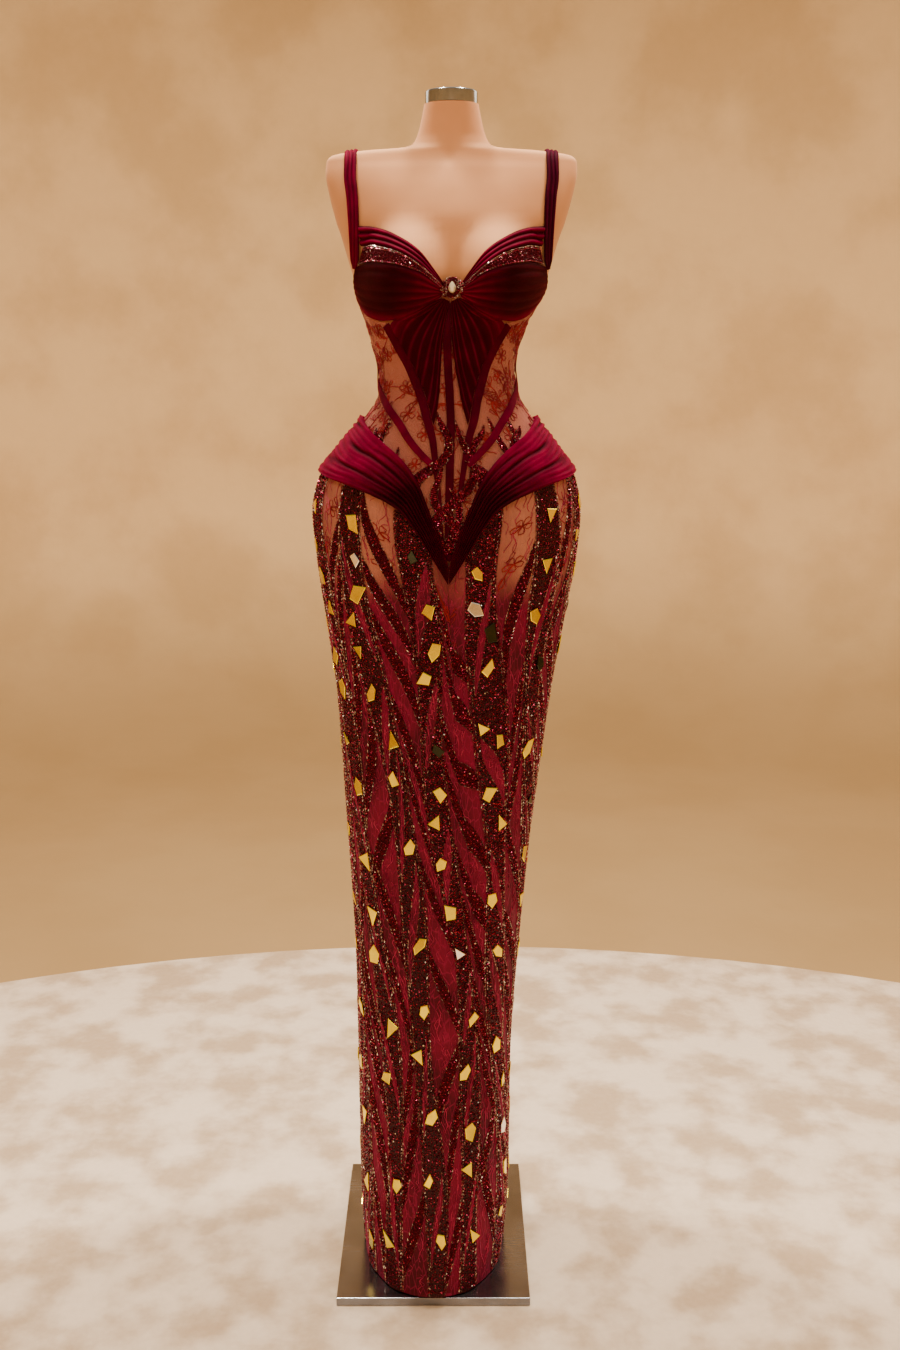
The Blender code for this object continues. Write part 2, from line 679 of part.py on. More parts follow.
def band_half_width(band, z):
    phase = math.radians(SWELL_PHASE * band)
    swell = BAND_SWELL * math.sin(2 * math.pi * z / SWELL_HEIGHT + phase)
    return 180.0 / BANDS * (BAND_SHARE + swell)


def gap_middle(band, z):
    """Turn of the line halfway between a band and the one before it."""
    before = band_middle(band - 1, z) + band_half_width(band - 1, z)
    return (before + band_middle(band, z) - band_half_width(band, z)) / 2


def band_line(band, part, z):
    """Turn and rise of one of the lines down a band: its gap, edge, crest, middle, crest, edge."""
    if part == 0:
        return gap_middle(band, z), 0.0
    middle, half = band_middle(band, z), band_half_width(band, z)
    crest = half * (1 - 2 * BAND_EDGE)
    return ((middle - half, 0.0), (middle - crest, 1.0), (middle, 1.0), (middle + crest, 1.0),
            (middle + half, 0.0))[part - 1]


def from_front(turn):
    """Degrees between a turn and the centre front."""
    return abs((turn - CENTRE_FRONT + 180.0) % 360.0 - 180.0)


def build_skirt():
    """Four spiral gores, each with three beaded bands that stand up from the cloth. Along a seam
    the outer points lie straight between the inner face's, which has every second row only."""
    lines = BAND_LINES * BANDS_A_GORE
    names = ("front_left", "back_left", "back_right", "front_right")
    for gore, name in enumerate(names):

        def line_at(s, v):
            line = round(s * lines)
            band, part = gore * BANDS_A_GORE + line // BAND_LINES, line % BAND_LINES
            top = waist_track.at(from_front(band_line(band, part, BAND_TOP)[0])).z
            z = between(HEM, top, 1 - (1 - v) ** ROW_POWER)
            turn, rise = band_line(band, part, between(HEM, BAND_TOP, (z - HEM) / (top - HEM)))
            if s in (0, 1) and round(v * SKIRT_ROWS) % 2:
                low, high = line_at(s, v - 1 / SKIRT_ROWS), line_at(s, v + 1 / SKIRT_ROWS)
                turn = between(low[0], high[0], (z - low[1]) / (high[1] - low[1]))
            return turn, z, rise

        def place(s, v):
            turn, z, _ = line_at(s, v)
            return on_figure(turn + SEAM_TURN * ((s == 0) - (s == 1)), z)

        def lifts(s, v):
            turn, z, rise = line_at(s, v)
            foot = drape_foot_track.at(from_front(turn)).z
            over = OVERLAP_RISE * (v == 1)
            rise *= BAND_RISE * (1 - smooth_step(foot - BAND_FADE, foot, z))
            return SKIRT_IN + over, SKIRT_OUT + over + rise

        wall(f"skirt_{name}", BEADED, place, lifts, lines, SKIRT_ROWS, (2, 2))


def rounded_patch(name, finish, half_width, half_height, lifts, taper=0.0, flat=False):
    """A small oval wall over the centre front, or a drop where taper narrows its upper end.
    lifts(r) takes the distance from its middle, 0 to 1. A flat one doesn't follow the figure."""
    middle = figure_point(CENTRE_FRONT, BROOCH_Z)
    a_degree = (figure_point(CENTRE_FRONT + 1, BROOCH_Z) - middle).x
    facing = Vector((0, -1, 0))

    def disc(s, v):
        a, b = 2 * s - 1, 2 * v - 1
        return a * math.sqrt(1 - b * b / 2), b * math.sqrt(1 - a * a / 2)

    def place(s, v):
        across, up = disc(s, v)
        across *= half_width * (1 - taper * max(0.0, up) ** 1.2)
        up *= half_height
        if flat:
            return middle + Vector((across, 0, up)), facing
        return figure_point(CENTRE_FRONT + across / a_degree, BROOCH_Z + up), facing

    def heights(s, v):
        return lifts(min(1.0, math.hypot(*disc(s, v))))

    return wall(name, finish, place, heights, PATCH_CELLS, PATCH_CELLS, (2, 2))


def build_brooch():
    """A cluster of beads with a drop-shaped crystal, where the cups and fans meet."""

    def cluster(r):
        return BROOCH_IN, BROOCH_OUT + BROOCH_DOME * (1 - r * r)

    def stone(r):
        return STONE_SEAT, STONE_SEAT + STONE_RISE + STONE_DOME * (1 - r ** 3)

    rounded_patch("brooch_cluster", BEAD_CLUSTER, BROOCH_HALF_WIDTH, BROOCH_HALF_HEIGHT, cluster)
    rounded_patch("brooch_stone", CRYSTAL, STONE_HALF_WIDTH, STONE_HALF_HEIGHT, stone, STONE_TAPER, True)


def form_ring(shape, z, depth):
    """One ring of the dress form, a given depth inside the figure."""
    ring = []
    for turn in FORM_TURNS:
        point, normal = on_figure(turn, z)
        level = Vector((normal.x, normal.y, 0.0)).normalized()
        ring.append(shape.verts.new(point - level * depth))
    return ring


def build_form():
    """The limbless dress form, from its rounded underside up to the top of the neck."""
    shape = bmesh.new()
    rings = [form_ring(shape, FORM_BOTTOM, FORM_FOOT_INSET)]
    rings += [form_ring(shape, z, inset_track.at(z).depth) for z in FORM_HEIGHTS]
    for low, high in zip(rings, rings[1:]):
        for i in range(len(low)):
            shape.faces.new((low[i - 1], low[i], high[i], high[i - 1]))
    shape.faces.new(rings[0])
    shape.faces.new(rings[-1])
    add_object("form_torso", shape, FORM_SKIN)


def turned(name, finish, profile, x, y, steps):
    """A solid of revolution: profile lists radius and height from one end to the other."""
    shape = bmesh.new()
    line = [shape.verts.new((radius, 0.0, z)) for radius, z in profile]
    edges = [shape.edges.new(pair) for pair in zip(line, line[1:])]
    if profile[0] == profile[-1]:
        bmesh.ops.remove_doubles(shape, verts=shape.verts, dist=1e-6)
        edges = shape.edges[:]
    bmesh.ops.spin(shape, geom=edges + shape.verts[:], axis=(0, 0, 1), cent=(0, 0, 0),
                   steps=steps, angle=2 * math.pi, use_merge=True)
    bmesh.ops.remove_doubles(shape, verts=shape.verts, dist=1e-6)
    made = add_object(name, shape, finish)
    made.location = (x, y, 0.0)
    return made


def build_stand():
    cap_low, cap_high = NECK_TOP + SEAM, NECK_TOP + SEAM + CAP_HEIGHT
    neck = FIGURE[-1]
    corner = [
        (CAP_RADIUS - CAP_ROUND * (1 - math.cos(a)), cap_high - CAP_ROUND * (1 - math.sin(a)))
        for a in (0.0, math.pi / 6, math.pi / 3, math.pi / 2)
    ]
    turned("form_neck_cap", CHROME, [(0.0, cap_low), (CAP_RADIUS, cap_low), *corner, (0.0, cap_high)],
           neck.centre_x, (neck.back - neck.front) / 2, CAP_SIDES)
    foot, head = PLATE_THICK + SEAM, FORM_BOTTOM - SEAM
    turned("form_pole", STEEL, [(0.0, foot), (POLE_RADIUS, foot), (POLE_RADIUS, head), (0.0, head)],
           POLE_X, POLE_Y, POLE_SIDES)
    bore, top = POLE_RADIUS + SEAM, foot + COLLAR_HEIGHT
    turned("form_collar", STEEL,
           [(bore, foot), (COLLAR_RADIUS, foot), (COLLAR_RADIUS, top - COLLAR_CHAMFER),
            (COLLAR_RADIUS - COLLAR_CHAMFER, top), (bore, top), (bore, foot)],
           POLE_X, POLE_Y, POLE_SIDES)

    shape = bmesh.new()
    bmesh.ops.create_cube(shape, size=1.0)
    bmesh.ops.scale(shape, vec=(PLATE_WIDTH, PLATE_DEPTH, PLATE_THICK), verts=shape.verts)
    plate = add_object("base_plate", shape, STEEL)
    plate.location = (PLATE_X, PLATE_Y, PLATE_THICK / 2)
    rounding = plate.modifiers.new("edges", "BEVEL")
    rounding.width = PLATE_BEVEL
    rounding.segments = 2


def main():
    for old in list(bpy.data.objects):
        bpy.data.objects.remove(old)
    build_stand()
    build_form()
    build_bodice()
    build_tapes()
    build_fans()
    build_cups()
    build_straps()
    build_brooch()
    build_skirt()
    build_drapes()


main()
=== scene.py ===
"""Looks of the evening dress on its dress form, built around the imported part.

Metres, +Z up, and the front faces -Y. A place on the dress is a turn in degrees, 0 at the centre
front and 90 at the side towards +X, and a height. The tables below are the garment's own sizes.
"""

import math
from collections import namedtuple

import bmesh
import bpy
import numpy as np
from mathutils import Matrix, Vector


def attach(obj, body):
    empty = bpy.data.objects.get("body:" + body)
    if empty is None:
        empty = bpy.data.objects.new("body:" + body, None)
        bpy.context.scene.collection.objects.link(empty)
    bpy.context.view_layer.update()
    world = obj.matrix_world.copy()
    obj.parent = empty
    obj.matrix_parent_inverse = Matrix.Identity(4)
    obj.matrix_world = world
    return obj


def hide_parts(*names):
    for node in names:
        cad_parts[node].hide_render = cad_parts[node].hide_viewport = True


bl_info = {
    "name": "Evening Dress on a Dress Form",
    "version": (1, 0, 0),
    "blender": (4, 5, 0),
    "location": "View3D > Sidebar > Dress",
    "description": "Builds a beaded velvet and lace evening dress on its dress form",
    "category": "Object",
}

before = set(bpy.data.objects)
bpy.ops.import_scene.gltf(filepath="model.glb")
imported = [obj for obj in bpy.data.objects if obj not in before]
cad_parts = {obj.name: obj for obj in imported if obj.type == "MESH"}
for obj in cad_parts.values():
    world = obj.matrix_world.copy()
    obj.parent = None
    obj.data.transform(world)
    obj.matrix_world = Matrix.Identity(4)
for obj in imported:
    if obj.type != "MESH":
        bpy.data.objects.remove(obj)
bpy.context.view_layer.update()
FINISHES, TREES = {}, {}  # filled by make_finishes


def table(kind, *rows):
    """Rows of a named kind, from plain rows."""
    return tuple(kind(*row) for row in rows)


# The figure, as a stack of rounded sections
Section = namedtuple("Section", "z half_width front back centre_x square")
FIGURE = table(
    Section,
    (0.0135, 0.1015, 0.1485, 0.1180, -0.0245, 2.10),
    (0.115, 0.1070, 0.1360, 0.1140, -0.0233, 2.10),
    (0.308, 0.1097, 0.1230, 0.1130, -0.0236, 2.10),
    (0.497, 0.1185, 0.1160, 0.1160, -0.0196, 2.10),
    (0.683, 0.1337, 0.1150, 0.1200, -0.0149, 2.10),
    (0.865, 0.1524, 0.1170, 0.1290, -0.0096, 2.10),
    (0.985, 0.1715, 0.1210, 0.1390, -0.0076, 2.10),
    (1.074, 0.1855, 0.1240, 0.1440, -0.0055, 2.10),
    (1.130, 0.1905, 0.1230, 0.1420, -0.0055, 2.10),
    (1.177, 0.1835, 0.1180, 0.1320, -0.0045, 2.10),
    (1.220, 0.1540, 0.1080, 0.1120, -0.0030, 2.10),
    (1.262, 0.1225, 0.0970, 0.0910, -0.0015, 2.10),
    (1.300, 0.0995, 0.0890, 0.0780, -0.0025, 2.10),
    (1.335, 0.0955, 0.0850, 0.0730, -0.0045, 2.10),
    (1.371, 0.1040, 0.0860, 0.0790, -0.0060, 2.10),
    (1.414, 0.1190, 0.0880, 0.0900, -0.0040, 2.15),
    (1.457, 0.1380, 0.0890, 0.0990, 0.0005, 2.25),
    (1.506, 0.1525, 0.0840, 0.1040, 0.0005, 2.35),
    (1.545, 0.1630, 0.0740, 0.0990, 0.0010, 2.40),
    (1.585, 0.1735, 0.0590, 0.0840, 0.0015, 2.40),
    (1.615, 0.1785, 0.0450, 0.0660, 0.0020, 2.35),
    (1.629, 0.1775, 0.0375, 0.0550, 0.0025, 2.30),
    (1.637, 0.1710, 0.0345, 0.0500, 0.0025, 2.20),
    (1.643, 0.1380, 0.0330, 0.0480, 0.0025, 2.10),
    (1.647, 0.0760, 0.0324, 0.0476, 0.0022, 2.08),
    (1.653, 0.0560, 0.0315, 0.0470, 0.0020, 2.05),
    (1.667, 0.0480, 0.0300, 0.0460, 0.0020, 2.00),
    (1.688, 0.0425, 0.0300, 0.0460, 0.0020, 2.00),
    (1.709, 0.0385, 0.0305, 0.0455, 0.0020, 2.00),
)
BUST_X, BUST_Z, BUST_RISE = 0.066, 1.463, 0.040
BUST_ACROSS, BUST_ABOVE, BUST_BELOW = 0.065, 0.085, 0.058
BUST_MIDDLE_X = 0.0028
CENTRE_FRONT = 1.2  # degrees: the centre front lies a little to +X of the figure's middle

# The dress form and its stand
Inset = namedtuple("Inset", "z depth")
FORM_BOTTOM, NECK_TOP = 0.930, 1.7090
FORM_INSET = table(
    Inset,
    (FORM_BOTTOM, 0.020),
    (0.942, 0.008),
    (1.200, 0.008),
    (1.300, 0.005),
    (1.400, 0.004),
    (1.440, 0.0036),
    (1.500, 0.0026),
    (1.523, 0.0022),
    (1.545, 0.0),
    (NECK_TOP, 0.0),
)
BODY_RINGS, NECK_RINGS, FORM_COLUMNS = 52, 60, 96
BODY_TOP, NECK_FOOT = 1.580, 1.585
CAP_RADIUS, CAP_HEIGHT, CAP_LIP, CAP_SIDES = 0.0374, 0.0188, 0.0022, 96

# The cups' edges, at shares of the way from the brooch to the strap
CupLine = namedtuple("CupLine", "share neck_turn neck roll_turn roll mid_turn mid under_turn under")
CUP = table(
    CupLine,
    (0.00, 6.0, 1.4545, 6.1, 1.4500, 6.2, 1.4465, 6.3, 1.4370),
    (0.12, 11.0, 1.4730, 10.8, 1.4600, 11.0, 1.4550, 12.0, 1.4262),
    (0.28, 17.8, 1.4970, 17.5, 1.4748, 17.8, 1.4660, 21.0, 1.4140),
    (0.46, 26.3, 1.5150, 26.5, 1.4915, 27.0, 1.4748, 33.5, 1.4055),
    (0.64, 33.9, 1.5268, 35.5, 1.5015, 36.5, 1.4800, 47.5, 1.4035),
    (0.82, 41.3, 1.5330, 42.8, 1.5062, 46.0, 1.4832, 65.0, 1.4105),
    (1.00, 47.7, 1.5345, 49.5, 1.5060, 60.0, 1.4800, 88.0, 1.4330),
)
CRESCENT_REACH = 0.94
END_SPREAD = 1.0
DrapeLine = namedtuple("DrapeLine", "share low_turn low high_turn high")
DRAPE = table(
    DrapeLine,
    (0.00, 0.2, 1.0430, 0.2, 1.0680),
    (0.08, 7.0, 1.0790, 3.6, 1.1050),
    (0.15, 13.2, 1.1140, 8.0, 1.1430),
    (0.22, 20.5, 1.1434, 13.5, 1.1820),
    (0.31, 33.2, 1.1630, 24.0, 1.2130),
    (0.42, 51.8, 1.1780, 43.0, 1.2390),
    (0.60, 90.0, 1.1880, 84.0, 1.2660),
    (0.80, 135.0, 1.1860, 133.0, 1.2560),
    (1.00, 179.8, 1.1800, 179.8, 1.2380),
)

# Where the bodice is sewn to the skirt, the bodice's upper edge and its seams
Edge = namedtuple("Edge", "turn z")
WAIST_SEAM = table(
    Edge,
    (0.0, 1.0520),
    (6.0, 1.0850),
    (11.0, 1.1200),
    (17.0, 1.1550),
    (28.0, 1.1850),
    (48.0, 1.2050),
    (90.0, 1.2250),
    (135.0, 1.2200),
    (180.0, 1.2100),
)
BODICE_TOP = table(
    Edge,
    (0.0, 1.4385),
    (6.3, 1.4362),
    (12.0, 1.4254),
    (21.0, 1.4132),
    (33.5, 1.4047),
    (47.5, 1.4027),
    (65.0, 1.4097),
    (88.5, 1.4322),
    (98.0, 1.4500),
    (135.0, 1.4560),
    (180.0, 1.4520),
)
PanelSeam = namedtuple("PanelSeam", "share turn")
FRONT_SEAM = table(
    PanelSeam,
    (0.00, 2.6),
    (0.28, 2.8),
    (0.42, 6.0),
    (0.55, 15.0),
    (0.75, 30.0),
    (1.00, 47.0),
)
SIDE_SEAM, BACK_EDGE = 102.0, 180.0

# Boning tapes, fans and straps
Stop = namedtuple("Stop", "share turn z width")
FRONT_TAPE = table(
    Stop,
    (0.00, 46.0, 1.3985, 0.0125),
    (0.35, 30.5, 1.3330, 0.0125),
    (0.65, 15.6, 1.2680, 0.0115),
    (0.80, 9.2, 1.2330, 0.0095),
    (1.00, 4.2, 1.1600, 0.0065),
    (1.18, 3.0, 1.1050, 0.0058),
)
FRONT_TAPE_END = 1.18
SIDE_TAPE = table(
    Stop,
    (0.00, 126.0, 1.4500, 0.0110),
    (0.22, 112.0, 1.3850, 0.0110),
    (0.39, 92.0, 1.3330, 0.0110),
    (0.54, 62.5, 1.2970, 0.0110),
    (0.71, 35.5, 1.2640, 0.0110),
    (0.86, 22.5, 1.2370, 0.0105),
    (1.00, 8.2, 1.2050, 0.0090),
)
CENTRE_TAPE_TOP, CENTRE_TAPE_FOOT, CENTRE_TAPE_WIDTH = 1.4270, 1.0750, 0.0112
CENTRE_TAPE_TAPER = 0.131  # the share of the tape that narrows upwards between the fans
FAN_NECK_INNER, FAN_NECK_OUTER = Edge(0.3, 1.4290), Edge(6.0, 1.4350)
FAN_TIP_SHARE, FAN_HEAD_SHARE = 0.70, 0.02
FAN_GAP = 0.0007
FAN_UNDER_CUP, FAN_SPREAD = 0.0050, 3
StrapStop = namedtuple("StrapStop", "z x")
STRAP_FRONT = (StrapStop(1.4850, 0.1335), StrapStop(1.5300, 0.1345), StrapStop(1.6000, 0.1390))
STRAP_BACK = (StrapStop(1.4575, 0.1010), StrapStop(1.5300, 0.1200), StrapStop(1.6000, 0.1370))
STRAP_WIDTH, STRAP_TUCK, RIDGE_X, RIDGE_HEART, FIGURE_MIDDLE_X = 0.0180, 0.008, 0.1410, 1.590, 0.002
BROOCH_Z = 1.4480

# Heights of the cloth above the figure
SEAM = 0.0003
LACE_IN, LACE_OUT = 0.0009, 0.0019
CUP_IN, CUP_OUT, CUP_FOLD = 0.0012, 0.0027, 0.0020
ROLL_OUT, ROLL_FOLD = 0.0026, 0.0030
CRESCENT_OUT = 0.0034
FAN_IN, FAN_OUT, FAN_FOLD = 0.0037, 0.0048, 0.0020
TAPE_IN, TAPE_OUT = 0.0035, 0.0044
STRAP_IN, STRAP_OUT, STRAP_FOLD = 0.0017, 0.0031, 0.0017
DRAPE_IN, DRAPE_OUT, DRAPE_FOLD = 0.0054, 0.0070, 0.0036
SKIRT_IN, SKIRT_OUT, BAND_RISE = 0.0009, 0.0021, 0.0016

# Pleats, and the bands that turn round the skirt: turns in degrees, heights in metres
CUP_FOLDS, ROLL_FOLDS, FAN_PLEATS, STRAP_PLEATS, DRAPE_PLEATS = 6, 3, 7, 3, 9
BANDS, BANDS_A_GORE = 12, 3
BAND_SHARE, BAND_SWELL = 0.50, 0.09
SWEEP, SWEEP_LOW, SWEEP_HIGH = 44.0, 0.12, 1.10
SWAY, SWAY_HEIGHT, SWAY_PHASE = 2.8, 0.60, 150.0
SWAY_FADE_LOW, SWAY_FADE_HIGH = 0.95, 1.10
SWELL_HEIGHT, SWELL_PHASE = 0.36, 210.0
HEM, BAND_TOP = 0.0135, 1.12
BAND_LOW, BAND_HIGH = 0.2, 0.8  # where a band's edges lie in its share of the skirt's round
GORES = ("front_left", "back_left", "back_right", "front_right")
SKIRT_ROUND = 0.98  # metres round the hips

# How finely each cloth is divided: columns, rows, and how many of them its inner face takes as one
TAPE_GRID, FAN_GRID, STRAP_GRID = (10, 120, (5, 3)), (112, 48, (8, 6)), (36, 120, (6, 4))
CUP_GRID, ROLL_GRID, CRESCENT_GRID = (72, 84, (6, 7)), (72, 42, (6, 7)), (48, 12, (4, 4))
DRAPE_GRID, SKIRT_GRID = (84, 138, (9, 6)), (48, 176, (4, 4))

# Lace sprigs on the bodice: rows of them, and how far they stay from its edges
SPRIG_LOW, SPRIG_HIGH, SPRIG_ROW, SPRIG_TURN = 1.09, 1.46, 0.038, 20.0
SPRIG_MARGIN = 0.004

# Beads and bugles: what each kind measures, how many there are and how close they are sewn
SKIRT_BUGLE = {"Width": 0.0019, "Length": 0.0050, "Sides": 3, "Rings": 2}
CRESCENT_BEAD = {"Width": 0.0019, "Length": 0.0019}
CRESCENT_BUGLE = {"Width": 0.0014, "Length": 0.0029, "Sides": 4, "Rings": 3}
TENDRIL_BEAD = {"Width": 0.0029, "Length": 0.0029}
TENDRIL_BUGLE = {"Width": 0.0018, "Length": 0.0040, "Sides": 3, "Rings": 2}
BROOCH_BEAD = {"Width": 0.0024, "Length": 0.0024}
CRESCENT_BEADS, BROOCH_BEADS = 1300, 620
BUGLE_PITCH, TENDRIL_BEAD_PITCH, TENDRIL_BUGLE_PITCH = 0.0046, 0.0027, 0.0033
BROOCH_REACH_X, BROOCH_REACH_Z = 0.0175, 0.0145
EDGE_ROWS = ((0.004, 0.25), (0.050, -0.35))  # how far inside a band's edge bugles lie, and their slant

# The drop-shaped crystal: shares of its width and heights from its foot to its top face
CRYSTAL_PROFILE = ((1.0, 0.0), (1.0, 0.0012), (0.80, 0.0034), (0.46, 0.0050))
CRYSTAL_HALF_WIDTH, CRYSTAL_HALF_LENGTH, CRYSTAL_OUT, CRYSTAL_SIDES = 0.0054, 0.0080, 0.0100, 12

# Mirror shards. One is near black or silver where a random number from 0 to 1 lies below these values,
# and near black only above a share of the skirt's height. The near black ones are a painted dark
# reflection.
MIRROR_LIFT, MIRROR_THICK, MIRROR_BEVEL = 0.0016, 0.0013, 0.0011
PAINTED_DARK_BELOW, SILVER_BELOW, PAINTED_DARK_FROM = 0.17, 0.20, 0.55

# The camera, where the photograph was taken from
CAMERA_PLACE, CAMERA_PITCH = (0.0, -2.0, 1.3357), 6.0
CAMERA_LENS, CAMERA_SHIFT = 36.78, -0.1185

# The round room and its carpet, all in metres
ROOM_RADIUS, ROOM_HEIGHT, ROOM_COVE, ROOM_LIT = 3.6, 3.4, 0.9, 1.1
CARPET, CARPET_RADIUS, CARPET_Y = 0.006, 2.6, -1.5  # its thickness, its size and its middle

# Round lights, each turned to a height on the dress's axis, and the light of the room
Lamp = namedtuple("Lamp", "name place aim size watts")
LAMPS = table(
    Lamp,
    ("ceiling_left", (-0.50, 0.30, 3.3), 1.3, 0.22, 84),
    ("ceiling_right", (0.60, 0.25, 3.3), 1.3, 0.22, 84),
    ("front_left", (-1.0, -1.4, 3.35), 0.7, 0.6, 15),
    ("front_right", (0.9, -1.3, 3.35), 0.7, 0.6, 14),
    ("front_low", (0.0, -3.1, 1.4), 0.7, 1.4, 4),
    ("back_left", (-2.0, 1.9, 2.7), 1.0, 1.2, 18),
    ("back_right", (2.0, 1.9, 2.7), 1.0, 1.2, 18),
)
LAMP_COLOUR = (1.0, 0.88, 0.72)
ROOM_LIGHT, ROOM_LIGHT_STRENGTH = (1.0, 0.87, 0.70, 1.0), 0.54

# Finishes of the pieces that keep their CAD shapes
NODE_FINISHES = {
    "base_plate": "steel",
    "form_pole": "steel",
    "form_collar": "steel",
    "brooch_cluster": "beaded_ground",
}


class Track:
    """Smooth values between the rows of a table, whose first column is the place."""

    def __init__(self, rows):
        self.kind = type(rows[0])
        self.table = np.array(rows, float)
        self.places = self.table[:, 0]
        rises = np.diff(self.table, axis=0) / np.diff(self.places)[:, None]
        low, high = rises[:-1], rises[1:]
        total = np.where(low * high > 0, low + high, 1.0)
        inner = np.where(low * high > 0, 2 * low * high / total, 0.0)
        self.slopes = np.vstack([rises[:1], inner, rises[-1:]])

    def at(self, place):
        place = np.clip(place, self.places[0], self.places[-1])
        i = np.clip(np.searchsorted(self.places, place, side="right") - 1, 0, len(self.table) - 2)
        span = self.places[i + 1] - self.places[i]
        t = ((place - self.places[i]) / span)[..., None]
        span = span[..., None]
        from_low = (1 + 2 * t) * (1 - t) ** 2
        values = (
            from_low * self.table[i] + (1 - from_low) * self.table[i + 1]
            + t * (1 - t) ** 2 * span * self.slopes[i]
            + t * t * (t - 1) * span * self.slopes[i + 1]
        )
        return self.kind(*np.moveaxis(values, -1, 0))


figure_track = Track(FIGURE)
inset_track = Track(FORM_INSET)
cup_track = Track(CUP)
drape_track = Track(DRAPE)
waist_track = Track(WAIST_SEAM)
top_track = Track(BODICE_TOP)
under_track = Track([Edge(line.under_turn, line.under) for line in CUP])
front_seam_track = Track(FRONT_SEAM)
front_tape_track = Track(FRONT_TAPE)
side_tape_track = Track(SIDE_TAPE)
drape_foot_track = Track([Edge(line.low_turn, line.low) for line in DRAPE])


def between(a, b, share):
    return a + (b - a) * share


def smooth_step(low, high, value):
    share = np.clip((value - low) / (high - low), 0.0, 1.0)
    return share * share * (3 - 2 * share)


def bell(value, middle, width):
    """1 at the middle, fading to 0 on both sides."""
    return np.exp(-(((value - middle) / width) ** 2))


def pleat(share, count):
    """0 in the valleys and 1 on the crests of count even pleats."""
    return np.abs(np.sin(np.pi * count * share))


def unit(vectors):
    return vectors / np.maximum(np.linalg.norm(vectors, axis=-1, keepdims=True), 1e-12)


def bust_rise(x, z):
    rise = 0.0
    for side in (-1, 1):
        across = (x - BUST_MIDDLE_X - side * BUST_X) / BUST_ACROSS
        up = (z - BUST_Z) / np.where(z > BUST_Z, BUST_ABOVE, BUST_BELOW)
        rise = rise + BUST_RISE * np.maximum(0.0, 1 - across * across - up * up) ** 1.5
    return rise


def figure_point(turn, z):
    """Points of the figure at turns in degrees and heights."""
    turn, z = np.broadcast_arrays(np.asarray(turn, float), np.asarray(z, float))
    row = figure_track.at(z)
    side, ahead = np.sin(np.radians(turn)), np.cos(np.radians(turn))
    reach = (np.abs(side) ** row.square + np.abs(ahead) ** row.square) ** (-1 / row.square)
    x = row.half_width * side * reach
    front = -row.front * ahead * reach - bust_rise(x, z)
    y = np.where(ahead > 0, front, -row.back * ahead * reach)
    return np.stack([row.centre_x + x, y, z], axis=-1)


def on_figure(turn, z):
    """Points of the figure and their outward normals."""
    wide, tall = 0.4, 0.0012
    across = figure_point(turn + wide, z) - figure_point(turn - wide, z)
    up = figure_point(turn, z + tall) - figure_point(turn, z - tall)
    return figure_point(turn, z), unit(np.cross(across, up))


def sided(sign, turn):
    """Turns counted from the centre front to one side."""
    return sign * turn + CENTRE_FRONT * np.maximum(0.0, np.cos(np.radians(turn)))


def from_front(turn):
    """Degrees from the centre front, either way round."""
    return np.abs((turn - CENTRE_FRONT + 180.0) % 360.0 - 180.0)


def sides():
    """The wearer's two sides as a name and the sign of X."""
    return (("left", 1), ("right", -1))


# Node trees

class Wire:
    """A socket that takes part in sums: an expression on wires adds its Math nodes."""

    def __init__(self, plan, socket):
        self.plan, self.socket = plan, socket

    def maths(self, operation, *others):
        inputs = dict(enumerate((self, *others)))
        return self.plan.node("ShaderNodeMath", {"operation": operation}, inputs)

    def __add__(self, other):
        return self.maths("ADD", other)

    def __sub__(self, other):
        return self.maths("SUBTRACT", other)

    def __mul__(self, other):
        return self.maths("MULTIPLY", other)

    def __truediv__(self, other):
        return self.maths("DIVIDE", other)

    def __pow__(self, other):
        return self.maths("POWER", other)

    def __rsub__(self, other):
        return self.plan.node("ShaderNodeMath", {"operation": "SUBTRACT"}, {0: other, 1: self})

    __radd__ = __add__
    __rmul__ = __mul__


class Plan:
    """A node tree that is built by calls."""

    def __init__(self, tree):
        self.tree = tree
        tree.nodes.clear()

    def feed(self, socket, value):
        if isinstance(value, Wire):
            self.tree.links.new(value.socket, socket)
        else:
            socket.default_value = value

    def node(self, kind, settings=None, inputs=None, output=0):
        made = self.tree.nodes.new(kind)
        for name, value in (settings or {}).items():
            if name == "stops":
                self.set_stops(made.color_ramp, value)
            else:
                setattr(made, name, value)
        for key, value in (inputs or {}).items():
            self.feed(made.inputs[key], value)
        return Wire(self, made.outputs[output]) if made.outputs else made

    def set_stops(self, ramp, stops):
        """Each stop is a place and a colour."""
        while len(ramp.elements) < len(stops):
            ramp.elements.new(1.0)
        for element, (place, colour) in zip(ramp.elements, stops):
            element.position = place
            element.color = (*colour, 1.0)


